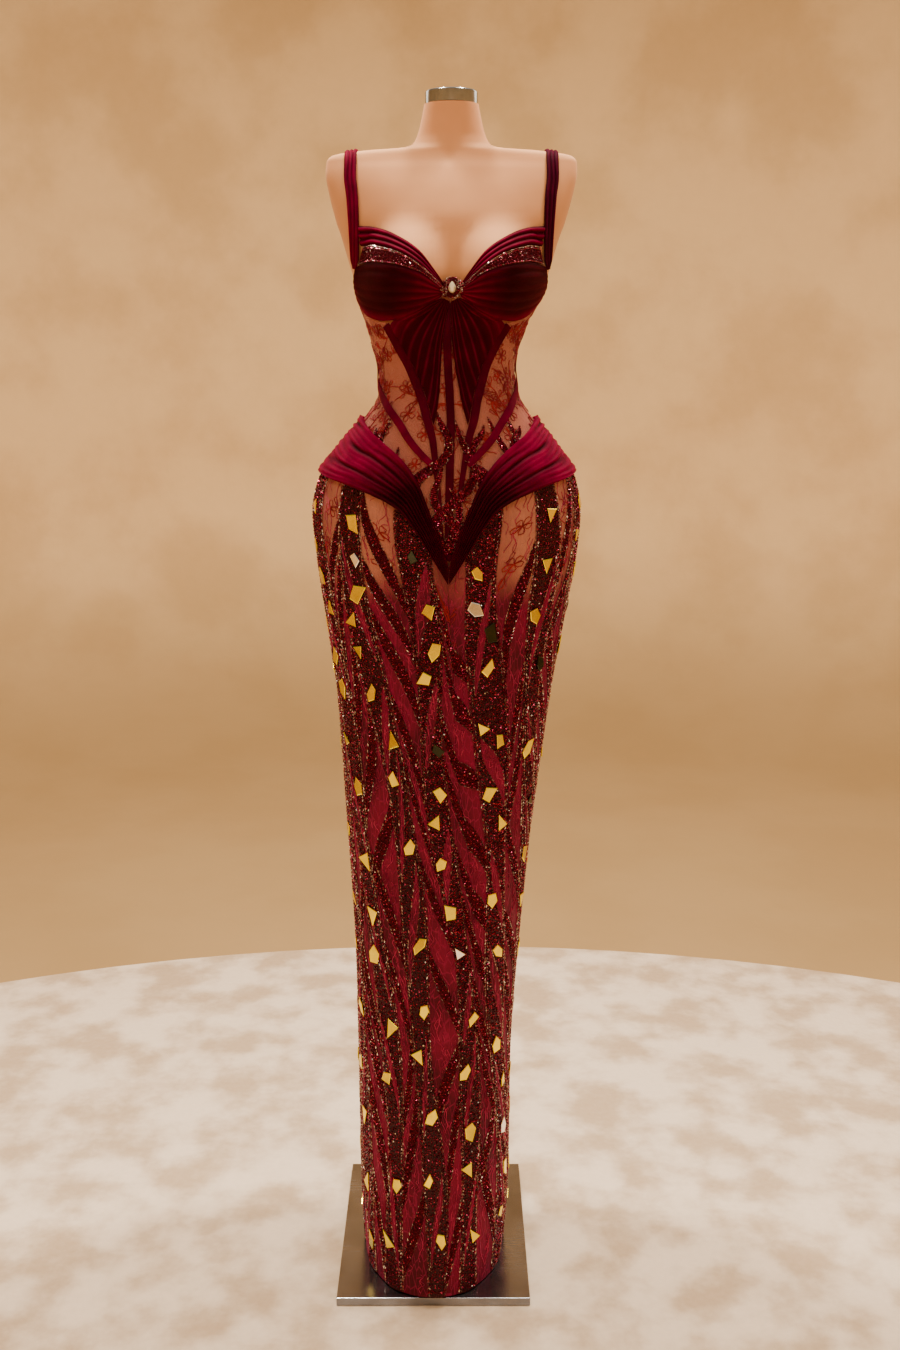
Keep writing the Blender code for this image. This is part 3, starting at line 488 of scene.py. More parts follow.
class Finish(Plan):
    """A Principled material. Constants stay on the shader's own sockets."""

    def __init__(self, name, **constants):
        self.material = bpy.data.materials.new(name)
        self.material.use_nodes = True
        super().__init__(self.material.node_tree)
        self.shader = self.tree.nodes.new("ShaderNodeBsdfPrincipled")
        output = self.tree.nodes.new("ShaderNodeOutputMaterial")
        self.tree.links.new(self.shader.outputs[0], output.inputs[0])
        self.place = self.node("ShaderNodeTexCoord", output="Object")
        for name, value in constants.items():
            value = (*value, 1.0) if isinstance(value, tuple) and len(value) == 3 else value
            self.shader.inputs[name.replace("_", " ").title().replace("Ior", "IOR")].default_value = value

    def set(self, name, value):
        self.feed(self.shader.inputs[name], value)

    def attribute(self, name):
        return self.node("ShaderNodeAttribute", {"attribute_name": name}, output="Fac")

    def mix(self, factor, low, high):
        low = low if isinstance(low, Wire) else (*low, 1.0)
        high = high if isinstance(high, Wire) else (*high, 1.0)
        return self.node("ShaderNodeMix", {"data_type": "RGBA"}, {0: factor, 6: low, 7: high}, 2)

    def scaled(self, stretch):
        if not stretch:
            return self.place
        return self.node("ShaderNodeMapping", inputs={"Vector": self.place, "Scale": stretch})

    def noise(self, scale, detail=2.0, stretch=None):
        inputs = {"Vector": self.scaled(stretch), "Scale": scale, "Detail": detail}
        return self.node("ShaderNodeTexNoise", inputs=inputs)

    def cells(self, scale, feature="F1", stretch=None):
        inputs = {"Vector": self.scaled(stretch), "Scale": scale}
        return self.node("ShaderNodeTexVoronoi", {"feature": feature}, inputs, "Distance")

    def step(self, value, low, high):
        inputs = {"Value": value, "From Min": low, "From Max": high}
        return self.node("ShaderNodeMapRange", {"interpolation_type": "SMOOTHSTEP"}, inputs)

    def ramp(self, value, stops):
        return self.node("ShaderNodeValToRGB", {"stops": stops}, {"Fac": value})

    def bump(self, height, strength, distance):
        inputs = {"Height": height, "Strength": strength, "Distance": distance}
        self.set("Normal", self.node("ShaderNodeBump", inputs=inputs))


def velvet_finish(name, deep, bright, sheen):
    """Cotton velvet: dark, with a painted highlight on the crests of its folds and painted light where
    the attributes mark it.
    """
    made = Finish(name, roughness=0.6, sheen_weight=0.28, sheen_roughness=0.30, sheen_tint=sheen,
                  specular_ior_level=0.02)
    crush = made.step(made.noise(38.0, 3.0), 0.35, 0.7)
    fold = made.attribute("fold")
    glow = made.attribute("glow")
    # Painted highlight on the fold crests and painted light where marked, mixed into the base colour with
    # the crush.
    lit = fold * (0.45 + crush * 0.55) * 0.42 + glow * (0.72 + crush * 0.28) + crush * 0.02
    made.set("Base Color", made.mix(lit, deep, bright))
    pile = made.noise(1400.0, 1.0) + made.noise(160.0, 2.0) * 1.6
    made.bump(pile, 0.35, 0.0004)
    return made.material


def net_finish(name, colour, thread, open_share):
    """Fine nude tulle: a net of threads over openings that let the form show through."""
    made = Finish(name, roughness=0.78, sheen_weight=0.15, sheen_roughness=0.5,
                  sheen_tint=(0.6, 0.25, 0.15), specular_ior_level=0.1)
    net = made.step(made.cells(900.0, "DISTANCE_TO_EDGE"), 0.10, 0.03)
    cloud = made.step(made.noise(26.0, 3.0), 0.36, 0.66)
    made.set("Base Color", made.mix(net * 0.25 + cloud * 0.16, colour, thread))
    made.set("Alpha", 1.0 - (1.0 - net * 0.7) * open_share)
    made.bump(net, 0.3, 0.0003)
    return made.material


def skirt_finish(name):
    """Crimson corded lace on tulle, dark under the bands, and bare nude tulle in places."""
    made = Finish(name, roughness=0.66, sheen_weight=0.2, sheen_roughness=0.4,
                  sheen_tint=(0.8, 0.06, 0.22), specular_ior_level=0.15)
    band, nude = made.attribute("band"), made.attribute("nude")
    ridges = made.step(made.cells(150.0, "DISTANCE_TO_EDGE", stretch=(1.0, 1.0, 0.33)), 0.09, 0.0)
    cloud = made.step(made.noise(17.0, 4.0, (1.0, 1.0, 0.5)), 0.34, 0.66)
    weave = made.noise(700.0, 2.0)
    lace = made.mix(cloud, (0.055, 0.0006, 0.008), (0.165, 0.0015, 0.028))
    lace = made.mix(ridges * 0.45, lace, (0.32, 0.010, 0.075))
    lace = made.mix(weave * 0.3, lace, (0.03, 0.0005, 0.004))
    bare = made.mix(made.noise(55.0, 4.0), (0.33, 0.122, 0.083), (0.44, 0.178, 0.122))
    ground = made.mix(nude, lace, bare)
    specks = made.cells(420.0, "F1")
    beaded = made.mix(made.step(specks, 0.42, 0.12), (0.022, 0.0004, 0.002), (0.080, 0.0015, 0.008))
    made.set("Base Color", made.mix(band, ground, beaded))
    made.set("Roughness", 0.70 - band * 0.35)
    made.bump(ridges * 0.8 + weave * 0.25 + made.step(specks, 0.5, 0.0) * band, 0.7, 0.0007)
    return made.material


def bead_finish(name):
    """Cut glass beads and sequins, from near black through garnet and pink to bronze and silver."""
    made = Finish(name, roughness=0.22, metallic=0.82, specular_ior_level=0.4)
    tone = made.attribute("tone")
    made.set("Base Color", made.ramp(tone, (
        (0.00, (0.040, 0.0006, 0.004)),
        (0.30, (0.120, 0.0018, 0.013)),
        (0.50, (0.280, 0.0080, 0.040)),
        (0.62, (0.500, 0.0450, 0.120)),
        (0.72, (0.190, 0.1050, 0.080)),
        (0.84, (0.360, 0.2700, 0.230)),
        (1.00, (0.900, 0.8300, 0.790)),
    )))
    return made.material


def thread_finish(name, low, high):
    made = Finish(name, roughness=0.55, sheen_weight=0.25, sheen_roughness=0.4,
                  sheen_tint=(1.0, 0.15, 0.35), specular_ior_level=0.15)
    made.set("Base Color", made.mix(made.step(made.noise(60.0, 2.0), 0.35, 0.65), low, high))
    made.bump(made.noise(1500.0, 1.0), 0.3, 0.0003)
    return made.material


def mirror_finish(name, colour, tarnish, roughness):
    made = Finish(name, metallic=1.0, specular_ior_level=0.6)
    patch = made.step(made.noise(70.0, 3.0), 0.4, 0.75)
    made.set("Base Color", made.mix(patch * 0.5, colour, tarnish))
    made.set("Roughness", made.noise(240.0, 2.0) * 0.06 + roughness)
    return made.material


def skin_finish(name):
    """The form's pale jersey cover."""
    made = Finish(name, roughness=0.72, sheen_weight=0.22, sheen_roughness=0.5,
                  sheen_tint=(1.0, 0.72, 0.50), specular_ior_level=0.12, subsurface_weight=0.04,
                  subsurface_scale=0.004)
    blotch = made.step(made.noise(9.0, 3.0), 0.3, 0.7)
    made.set("Base Color", made.mix(blotch, (0.57, 0.270, 0.120), (0.64, 0.315, 0.148)))
    knit = made.noise(1100.0, 1.0, (1.0, 1.0, 0.5)) + made.cells(1500.0, "F1") * 0.6
    made.set("Roughness", made.noise(300.0, 1.0) * 0.12 + 0.66)
    made.bump(knit, 0.22, 0.0003)
    return made.material


def metal_finish(name, low, high, roughness, grain):
    """Polished metal with faint brush marks along X."""
    made = Finish(name, metallic=1.0)
    marks = made.noise(grain, 3.0, (0.03, 1.0, 1.0))
    smear = made.step(made.noise(14.0, 3.0), 0.3, 0.75)
    made.set("Base Color", made.mix(smear * 0.7 + marks * 0.3, low, high))
    made.set("Roughness", roughness + marks * 0.10 + smear * 0.06)
    made.bump(marks, 0.10, 0.0002)
    return made.material


def crystal_finish(name):
    made = Finish(name, roughness=0.03, ior=1.6, transmission_weight=0.25, coat_weight=1.0,
                  coat_roughness=0.02, specular_ior_level=0.9, metallic=0.25)
    made.set("Base Color", made.mix(made.noise(160.0, 1.0), (0.66, 0.52, 0.28), (0.95, 0.88, 0.66)))
    return made.material


def room_finish(name, low, high, scale, grain, shade):
    """Mottled plaster or carpet, darker where the attribute "shade" is high."""
    made = Finish(name, roughness=0.9, specular_ior_level=0.1)
    cloud = made.step(made.noise(scale, 6.0), 0.36, 0.62)
    tuft = made.noise(grain, 3.0)
    colour = made.mix(cloud * 0.75 + tuft * 0.25, low, high)
    made.set("Base Color", made.mix(made.attribute("shade"), colour, shade))
    made.bump(tuft, 0.35, 0.004)
    return made.material


def plain_finish(name, low, high, scale):
    made = Finish(name, roughness=0.9, specular_ior_level=0.1)
    made.set("Base Color", made.mix(made.step(made.noise(scale, 4.0), 0.3, 0.7), low, high))
    return made.material


# Meshes

def counts(total, step):
    """Every step-th number up to total, and total itself."""
    return [*range(0, total, step), total]


def new_object(name, mesh, material, smooth_angle=None):
    mesh.materials.clear()
    mesh.materials.append(material)
    if smooth_angle:
        mesh.shade_smooth()
        mesh.set_sharp_from_angle(angle=math.radians(smooth_angle))
    made = bpy.data.objects.new(name, mesh)
    bpy.context.scene.collection.objects.link(made)
    return made


def put_attribute(mesh, name, values, kind="FLOAT"):
    made = mesh.attributes.new(name, kind, "POINT")
    field = "vector" if kind == "FLOAT_VECTOR" else "value"
    made.data.foreach_set(field, np.asarray(values, np.float32).ravel())


def turn_outwards(mesh):
    shape = bmesh.new()
    shape.from_mesh(mesh)
    bmesh.ops.recalc_face_normals(shape, faces=shape.faces)
    shape.to_mesh(mesh)
    shape.free()


def mesh_of(name, shape):
    """The plain mesh of a finished bmesh, with its faces turned outwards."""
    bmesh.ops.recalc_face_normals(shape, faces=shape.faces)
    mesh = bpy.data.meshes.new(name)
    shape.to_mesh(mesh)
    shape.free()
    return mesh


def rim_faces(fine, coarse, coarse_at):
    """Triangles between a finely and a coarsely divided edge. coarse_at counts along the fine one."""
    faces = []
    for j in range(len(coarse_at) - 1):
        for place in range(coarse_at[j], coarse_at[j + 1]):
            faces.append((coarse[j], fine[place], fine[place + 1]))
        faces.append((coarse[j], fine[coarse_at[j + 1]], coarse[j + 1]))
    return faces


Cut = namedtuple("Cut", "flat area")


def cloth(name, material, place, lifts, columns, rows, step=(1, 1), marks=None, smooth_angle=60):
    """A thin closed shell of cloth. place(s, v) gives points and normals, lifts(s, v) how far the
    inner and outer face stand off them, and marks(s, v) values that the finish reads."""
    s, v = np.meshgrid(np.linspace(0, 1, columns + 1), np.linspace(0, 1, rows + 1), indexing="ij")
    points, normals = place(s, v)
    low, high = (np.broadcast_to(x, s.shape)[..., None] for x in lifts(s, v))
    inner_columns, inner_rows = counts(columns, step[0]), counts(rows, step[1])
    inside = (points + normals * low)[np.ix_(inner_columns, inner_rows)]
    outside = points + normals * high
    outer = np.arange(s.size).reshape(s.shape)
    inner = s.size + np.arange(inside[..., 0].size).reshape(inside.shape[:2])

    def quads(grid):
        corners = (grid[:-1, :-1], grid[1:, :-1], grid[1:, 1:], grid[:-1, 1:])
        return np.stack(corners, axis=-1).reshape(-1, 4)

    faces = quads(outer).tolist() + quads(inner)[:, ::-1].tolist()
    for j in (0, -1):
        faces += rim_faces(outer[:, j].tolist(), inner[:, j].tolist(), inner_columns)
    for i in (0, -1):
        faces += rim_faces(outer[i].tolist(), inner[i].tolist(), inner_rows)
    mesh = bpy.data.meshes.new(name)
    mesh.from_pydata(np.vstack([outside.reshape(-1, 3), inside.reshape(-1, 3)]).tolist(), [], faces)
    for key, value in (marks(s, v) if marks else {}).items():
        value = np.broadcast_to(value, s.shape)
        inner_value = value[np.ix_(inner_columns, inner_rows)]
        put_attribute(mesh, key, np.concatenate([value.ravel(), inner_value.ravel()]))
    turn_outwards(mesh)
    return new_object(name, mesh, material, smooth_angle), cut_of(points)


def cut_of(points):
    """The widest and longest runs of a grid of points, and its area."""
    across = np.linalg.norm(np.diff(points, axis=0), axis=-1)
    along = np.linalg.norm(np.diff(points, axis=1), axis=-1)
    tiles = np.linalg.norm(
        np.cross(points[1:, :-1] - points[:-1, :-1], points[:-1, 1:] - points[:-1, :-1]), axis=-1
    )
    return Cut((float(across.sum(axis=0).max()), float(along.sum(axis=1).max())), float(tiles.sum()))


LEAST_CUT = 0.302


def sew(piece, node=None, cut=None, fullness=1.0):
    """Fixes a finished piece to the part. cut and fullness say the cloth's size before pleating.

    The front panels and the fans are cut so slanting that they fill about a quarter of width times
    length. For them the area worked out here is the least that is taken, and larger than the real one.
    Neither size nor area is passed on."""
    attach(piece, "root")
    if node:
        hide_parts(node)
    if cut:
        flat = (cut.flat[0] * fullness, cut.flat[1])
        whole = flat[0] * flat[1]
        area = min(max(cut.area * fullness, LEAST_CUT * whole), whole)
    return piece


def ribbon_place(middle, width):
    """place(s, v) for a strip along a line of points and normals."""

    def place(s, v):
        near = 0.004
        point, normal = middle(v)
        ahead = middle(np.minimum(1.0, v + near))[0] - middle(np.maximum(0.0, v - near))[0]
        sideways = unit(np.cross(ahead, normal))
        return point + sideways * (width(v) * (s - 0.5))[..., None], normal

    return place


# What repeats, grown by node trees on points and lines

def grow_tree(name, sockets):
    """An empty tree with a Geometry input and output, and the named inputs."""
    group = bpy.data.node_groups.new(name, "GeometryNodeTree")
    group.interface.new_socket("Geometry", in_out="INPUT", socket_type="NodeSocketGeometry")
    for label, kind, value in sockets:
        made = group.interface.new_socket(label, in_out="INPUT", socket_type=kind)
        if value is not None:
            made.default_value = value
    group.interface.new_socket("Geometry", in_out="OUTPUT", socket_type="NodeSocketGeometry")
    plan = Plan(group)
    source = plan.tree.nodes.new("NodeGroupInput")
    return plan, {socket.name: Wire(plan, socket) for socket in source.outputs if socket.name}


def end_tree(plan, geometry, material):
    whole = plan.node("GeometryNodeRealizeInstances", inputs={0: geometry})
    faced = plan.node("GeometryNodeSetMaterial", inputs={"Geometry": whole, "Material": material})
    plan.node("NodeGroupOutput", inputs={0: faced})
    return plan.tree


def named_field(plan, name, kind):
    return plan.node("GeometryNodeInputNamedAttribute", {"data_type": kind}, {"Name": name})


def bead_tree():
    """Beads on the points of a mesh. Each point says its facing, along, size and tone."""
    plan, given = grow_tree("sewn beads", (
        ("Width", "NodeSocketFloat", 0.0022),
        ("Length", "NodeSocketFloat", 0.0022),
        ("Sides", "NodeSocketInt", 4),
        ("Rings", "NodeSocketInt", 2),
        ("Material", "NodeSocketMaterial", None),
    ))
    bead = plan.node("GeometryNodeMeshUVSphere",
                     inputs={"Segments": given["Sides"], "Rings": given["Rings"], "Radius": 0.5})
    bead = plan.node("GeometryNodeSetShadeSmooth", inputs={0: bead, "Shade Smooth": False})
    along = named_field(plan, "along", "FLOAT_VECTOR")
    facing = named_field(plan, "facing", "FLOAT_VECTOR")
    turned = plan.node("FunctionNodeAlignRotationToVector", {"axis": "Z"}, {"Vector": along})
    turned = plan.node("FunctionNodeAlignRotationToVector", {"axis": "X", "pivot_axis": "Z"},
                       {"Rotation": turned, "Vector": facing})
    size = named_field(plan, "size", "FLOAT")
    scale = plan.node("ShaderNodeCombineXYZ", inputs={
        0: given["Width"] * size, 1: given["Width"] * size, 2: given["Length"] * size})
    sown = plan.node("GeometryNodeInstanceOnPoints", inputs={
        "Points": given["Geometry"], "Instance": bead, "Rotation": turned, "Scale": scale})
    return end_tree(plan, sown, given["Material"])


def thread_tree():
    """A thread along each line of edges, as thick as its points say."""
    plan, given = grow_tree("thread along lines", (
        ("Radius", "NodeSocketFloat", 0.0005),
        ("Sides", "NodeSocketInt", 3),
        ("Material", "NodeSocketMaterial", None),
    ))
    line = plan.node("GeometryNodeMeshToCurve", inputs={0: given["Geometry"]})
    size = named_field(plan, "size", "FLOAT")
    line = plan.node("GeometryNodeSetCurveRadius", inputs={"Curve": line, "Radius": size})
    circle = plan.node("GeometryNodeCurvePrimitiveCircle",
                       inputs={"Resolution": given["Sides"], "Radius": given["Radius"]})
    tube = plan.node("GeometryNodeCurveToMesh",
                     inputs={"Curve": line, "Profile Curve": circle, "Fill Caps": True})
    return end_tree(plan, tube, given["Material"])


def grown(name, mesh, tree, material, **sizes):
    """The plain mesh that a tree grows on a mesh of points or lines."""
    seed = bpy.data.objects.new(name + "_seed", mesh)
    bpy.context.scene.collection.objects.link(seed)
    grower = seed.modifiers.new("grow", "NODES")
    grower.node_group = tree
    values = {"Material": material, **sizes}
    for item in tree.interface.items_tree:
        if item.item_type == "SOCKET" and item.in_out == "INPUT" and item.name in values:
            grower[item.identifier] = values[item.name]
    bpy.context.view_layer.update()
    whole = seed.evaluated_get(bpy.context.evaluated_depsgraph_get())
    made = bpy.data.meshes.new_from_object(whole)
    made.name = name
    bpy.data.objects.remove(seed)
    return new_object(name, made, material)


Seeds = namedtuple("Seeds", "point facing along size tone")


def joined_seeds(parts):
    return Seeds(*(np.concatenate([np.asarray(part[i]) for part in parts]) for i in range(5)))


def seed_mesh(seeds):
    mesh = bpy.data.meshes.new("seeds")
    mesh.from_pydata(seeds.point.tolist(), [], [])
    put_attribute(mesh, "facing", seeds.facing, "FLOAT_VECTOR")
    put_attribute(mesh, "along", seeds.along, "FLOAT_VECTOR")
    put_attribute(mesh, "size", seeds.size)
    put_attribute(mesh, "tone", seeds.tone)
    return mesh


def line_mesh(lines):
    """Lines as a list of points and their thicknesses."""
    points = np.concatenate([line for line, size in lines])
    sizes = np.concatenate([size for line, size in lines])
    edges, start = [], 0
    for line, size in lines:
        edges += [(start + i, start + i + 1) for i in range(len(line) - 1)]
        start += len(line)
    mesh = bpy.data.meshes.new("lines")
    mesh.from_pydata(points.tolist(), edges, [])
    put_attribute(mesh, "size", sizes)
    return mesh


def scattered(rng, point, normal, lift, tone, tilt=0.5):
    """Seeds of beads at points, each tipped a little at random."""
    facing = unit(normal + rng.normal(0, tilt, normal.shape))
    along = unit(np.cross(facing, rng.normal(0, 1, normal.shape)))
    size = rng.uniform(0.78, 1.15, len(point))
    return Seeds(point + normal * np.reshape(lift, (-1, 1)), facing, along, size, tone)


def laid_along(rng, point, normal, lift, tone, slant=0.0):
    """Seeds of bugles along a line of points, end to end."""
    ahead = np.gradient(point, axis=0)
    sideways = unit(np.cross(ahead, normal))
    along = unit(unit(ahead) + sideways * (slant + rng.normal(0, 0.12, (len(point), 1))))
    facing = unit(normal + rng.normal(0, 0.25, normal.shape))
    return Seeds(point + normal * lift, facing, along, rng.uniform(0.85, 1.1, len(point)), tone)


def dark_tones(rng, count):
    """Mostly garnet beads, with a few pink and silver ones."""
    tone = rng.uniform(0.05, 0.46, count)
    pick = rng.random(count)
    tone = np.where(pick > 0.80, rng.uniform(0.5, 0.63, count), tone)
    return np.where(pick > 0.985, rng.uniform(0.86, 1.0, count), tone)


def edge_tones(rng, count):
    """Bronze and dull silver bugles, with some dark ones."""
    tone = rng.uniform(0.68, 0.87, count)
    pick = rng.random(count)
    tone = np.where(pick < 0.26, rng.uniform(0.1, 0.45, count), tone)
    return np.where(pick > 0.94, rng.uniform(0.88, 1.0, count), tone)


def evenly(points, pitch):
    """Places along a line of points, a pitch apart, as positions in its list."""
    run = np.concatenate([[0.0], np.cumsum(np.linalg.norm(np.diff(points, axis=0), axis=-1))])
    number = max(2, int(run[-1] / pitch))
    return np.interp(np.linspace(0, run[-1], number), run, np.arange(len(points)))


def picked(values, at):
    """Values of a list of numbers or points, at positions between its rows."""
    rows = np.arange(len(values))
    if values.ndim == 1:
        return np.interp(at, rows, values)
    return np.stack([np.interp(at, rows, column) for column in values.T], -1)


def bead_piece(name, parts, sizes):
    """Beads grown on lists of seeds, and sewn on as one piece."""
    piece = grown(name, seed_mesh(joined_seeds(parts)), TREES["bead"], FINISHES["bead"], **sizes)
    sew(piece)


# The bodice, and what is sewn to it

def panel_place(sign, turns):
    def place(s, v):
        first, last = turns(v)
        turn = between(first, last, 0.0015 + 0.997 * s)
        low = waist_track.at(turn).z - 0.004
        high = top_track.at(turn).z - SEAM / 2
        return on_figure(sided(sign, turn), between(low, high, v))

    return place


PANELS = {
    "front": (lambda share: (0.0, front_seam_track.at(share).turn), 32, 80),
    "side": (lambda share: (front_seam_track.at(share).turn, SIDE_SEAM), 44, 80),
    "back": (lambda share: (SIDE_SEAM, BACK_EDGE), 32, 60),
}


def build_bodice():
    """The bodice's six tulle panels."""
    for side, sign in sides():
        for panel, (turns, columns, rows) in PANELS.items():
            def lifts(s, v):
                pucker = 0.00025 * np.sin(v * 60 + s * 9) * bell(s, np.round(s), 0.08)
                tuck = 0.0013 * (v < 0.004)
                return LACE_IN - tuck, LACE_OUT + pucker - tuck

            piece, cut = cloth(f"tulle_{panel}_{side}", FINISHES["net"], panel_place(sign, turns),
                               lifts, columns, rows, (4, 4))
            sew(piece, f"bodice_{panel}_{side}", cut=cut, fullness=1.03)


def curl(rng, length, bend, tail, steps=16):
    """A line that sways and winds up at its end, from the origin, as flat points."""
    t = np.linspace(0, 1, steps)
    heading = np.cumsum(bend * np.cos(t * math.pi * 1.3) + tail * smooth_step(0.55, 1.0, t)) / steps
    heading += rng.normal(0, 0.15)
    stride = length / steps
    return np.cumsum(np.stack([np.sin(heading), np.cos(heading)], -1) * stride, axis=0)


def loop(middle, angle, length, width, steps=8):
    """A leaf or petal that starts and ends at its foot."""
    t = np.linspace(0, 2 * math.pi, steps)
    out, aside = (1 - np.cos(t)) / 2 * length, np.sin(t) * width / 2 * (1 - np.cos(t)) / 1.6
    along = np.array([math.sin(angle), math.cos(angle)])
    across = np.array([math.cos(angle), -math.sin(angle)])
    return middle + out[:, None] * along + aside[:, None] * across


def sprig(rng):
    """A flower on a curly stem with leaves, as flat lines."""
    turn = rng.uniform(-2.6, 2.6)
    stem = curl(rng, rng.uniform(0.046, 0.066), rng.uniform(1.5, 3.4) * rng.choice((-1, 1)),
                rng.uniform(3, 5) * rng.choice((-1, 1)), 18)
    lines = [stem]
    for place in (5, 9, 13):
        side = rng.choice((-1, 1))
        lines.append(loop(stem[place], rng.uniform(0.5, 1.3) * side, rng.uniform(0.010, 0.015), 0.0062))
        branch = curl(rng, rng.uniform(0.016, 0.028), 2.0 * side, rng.uniform(4, 7) * side, 10)
        lines.append(stem[place] + branch)
    for i in range(5):
        lines.append(loop(stem[0], turn + i * 2 * math.pi / 5, rng.uniform(0.009, 0.012), 0.0088))
    cos, sin = math.cos(turn), math.sin(turn)
    return [line @ np.array([[cos, -sin], [sin, cos]]) for line in lines]


def kept_runs(line, keep):
    """The stretches of a line, of three points or more, where keep holds."""
    runs, start = [], None
    for i in range(len(line) + 1):
        inside = i < len(line) and keep[i]
        if inside and start is None:
            start = i
        if not inside and start is not None:
            if i - start > 2:
                runs.append(line[start:i])
            start = None
    return runs


def sprig_lines(rng, turn, z, lift, keep):
    """A sprig laid on the figure round a place, where keep(turn, z) holds."""
    wide = np.linalg.norm(figure_point(turn + 1, z) - figure_point(turn, z))
    lines = []
    for flat in sprig(rng):
        places = np.stack([turn + flat[:, 0] / wide, z + flat[:, 1]], -1)
        for run in kept_runs(places, keep(places[:, 0], places[:, 1])):
            point, normal = on_figure(run[:, 0], run[:, 1])
            lines.append((point + normal * lift, np.full(len(point), rng.uniform(0.7, 1.15))))
    return lines


def build_sprigs():
    """Corded flower sprigs over the bodice's tulle."""
    rng = np.random.default_rng(11)

    def keep(turn, z):
        share = np.abs((turn + 180) % 360 - 180)
        above = z > waist_track.at(share).z + SPRIG_MARGIN
        return above & (z < top_track.at(share).z - SPRIG_MARGIN)

    lines = []
    for row, z in enumerate(np.arange(SPRIG_LOW, SPRIG_HIGH, SPRIG_ROW)):
        for turn in np.arange(-180, 180, SPRIG_TURN):
            turn = turn + row % 2 * SPRIG_TURN / 2 + rng.uniform(-5, 5)
            lines += sprig_lines(rng, turn, z + rng.uniform(-0.012, 0.012), LACE_OUT + 0.0003, keep)
    strokes = gap_leaves()
    for gap in range(BANDS):
        around = near_strip(strokes, gap)
        for v_foot in (0.86, 0.90, 0.94):
            for flat in sprig(rng):
                place = gap + flat[:, 0] * BANDS / SKIRT_ROUND
                v = v_foot + flat[:, 1] / (BAND_TOP - HEM)
                inside = (np.abs(place - gap) < BAND_LOW * 0.95) & (v < 0.985) & (v > 0.87)
                run = np.stack([place, v], -1)
                for kept in kept_runs(run, inside & ~on_leaf(around, place, v, 0.006)):
                    point, _ = on_skirt(kept[:, 0] % BANDS, kept[:, 1], 0.0003)
                    lines.append((point, np.full(len(point), 0.9)))
    piece = grown("lace_sprigs", line_mesh(lines), TREES["thread"], FINISHES["sprig"], Radius=0.00085)
    sew(piece)


def tape_lifts(s, v):
    crown = 0.0005 * (1 - (2 * s - 1) ** 2)
    stitched = 0.0003 * (bell(s, 0.12, 0.05) + bell(s, 0.88, 0.05))
    return TAPE_IN, TAPE_OUT + crown - stitched


# Painted light on a tape: an even painted highlight, and as much painted light as given.
def tape_marks(glow):
    def marks(s, v):
        return {"fold": 0.35, "glow": glow}

    return marks


def build_tapes():
    """Velvet tapes over the bodice's seams and its centre front."""
    # The last number of each kind is its painted light: the side tapes are painted brighter than the
    # front ones.
    kinds = (("front", front_tape_track, FRONT_TAPE_END, 0.16), ("side", side_tape_track, 1.0, 0.5))
    for kind, track, end, glow in kinds:
        for side, sign in sides():
            def middle(v, track=track, end=end, sign=sign):
                stop = track.at(v * end)
                return on_figure(sided(sign, stop.turn), stop.z)

            place = ribbon_place(middle, lambda v, track=track, end=end: track.at(v * end).width)
            piece, cut = cloth(f"boning_{kind}_{side}", FINISHES["velvet_light"], place, tape_lifts,
                               *TAPE_GRID, tape_marks(glow))
            sew(piece, f"tape_{kind}_{side}", cut, 1.02)

    def centre(v):
        return on_figure(CENTRE_FRONT + 0 * v, between(CENTRE_TAPE_TOP, CENTRE_TAPE_FOOT, v))

    def centre_width(v):
        return CENTRE_TAPE_WIDTH * np.clip(0.12 + 0.88 * v / CENTRE_TAPE_TAPER, 0, 1)

    place = ribbon_place(centre, centre_width)
    piece, cut = cloth("boning_centre", FINISHES["velvet_light"], place, tape_lifts,
                       *TAPE_GRID, tape_marks(0.12))
    sew(piece, "tape_centre", cut, 1.02)


def beside_tape(share, gap):
    """Places just inside the inner edge of the front tape."""
    stop, on = front_tape_track.at(share), front_tape_track.at(share + 0.01)
    point, normal = on_figure(stop.turn, stop.z)
    ahead = unit(figure_point(on.turn, on.z) - point)
    inward = np.cross(ahead, normal) * (stop.width / 2 + gap)[..., None]
    a_degree = figure_point(stop.turn + 0.5, stop.z) - figure_point(stop.turn - 0.5, stop.z)
    along = (inward * a_degree).sum(-1)
    inward = np.where((along > 0)[..., None], -inward, inward)
    return Edge(stop.turn - np.abs(along) / (a_degree ** 2).sum(-1), stop.z + inward[..., 2])


def build_fans():
    """A velvet fan below each cup, pleated from the brooch to the boning tape."""

    def fold(s, v):
        drift = 0.012 * np.sin(v * 5 + s * 17) * v
        return pleat(s + drift, FAN_PLEATS) ** 1.7

    def lifts(s, v):
        return FAN_IN, FAN_OUT + FAN_FOLD * fold(s, v) * (0.45 + 0.55 * v)

    # Painted highlights on the pleat crests, and painted light on the fan's outer upper corner.
    def marks(s, v):
        outside = smooth_step(0.70, 1.0, s) * smooth_step(0.1, 0.6, v)
        return {"fold": fold(s, v) ** 7 * (0.80 - 0.25 * v), "glow": 0.03 + 0.26 * outside}

    for side, sign in sides():
        def place(s, v, sign=sign):
            sewn = beside_tape(between(FAN_TIP_SHARE, FAN_HEAD_SHARE, s), FAN_GAP)
            turn = between(between(FAN_NECK_INNER.turn, FAN_NECK_OUTER.turn, s), sewn.turn, v)
            z = between(between(FAN_NECK_INNER.z, FAN_NECK_OUTER.z, s), sewn.z, v)
            upper = s ** FAN_SPREAD * 4 * v * (1 - v)
            return on_figure(sided(sign, turn), between(z, under_track.at(turn).z + FAN_UNDER_CUP, upper))

        piece, cut = cloth(f"pleated_fan_{side}", FINISHES["velvet"], place, lifts,
                           *FAN_GRID, marks)
        sew(piece, f"fan_{side}", cut, 1.1)


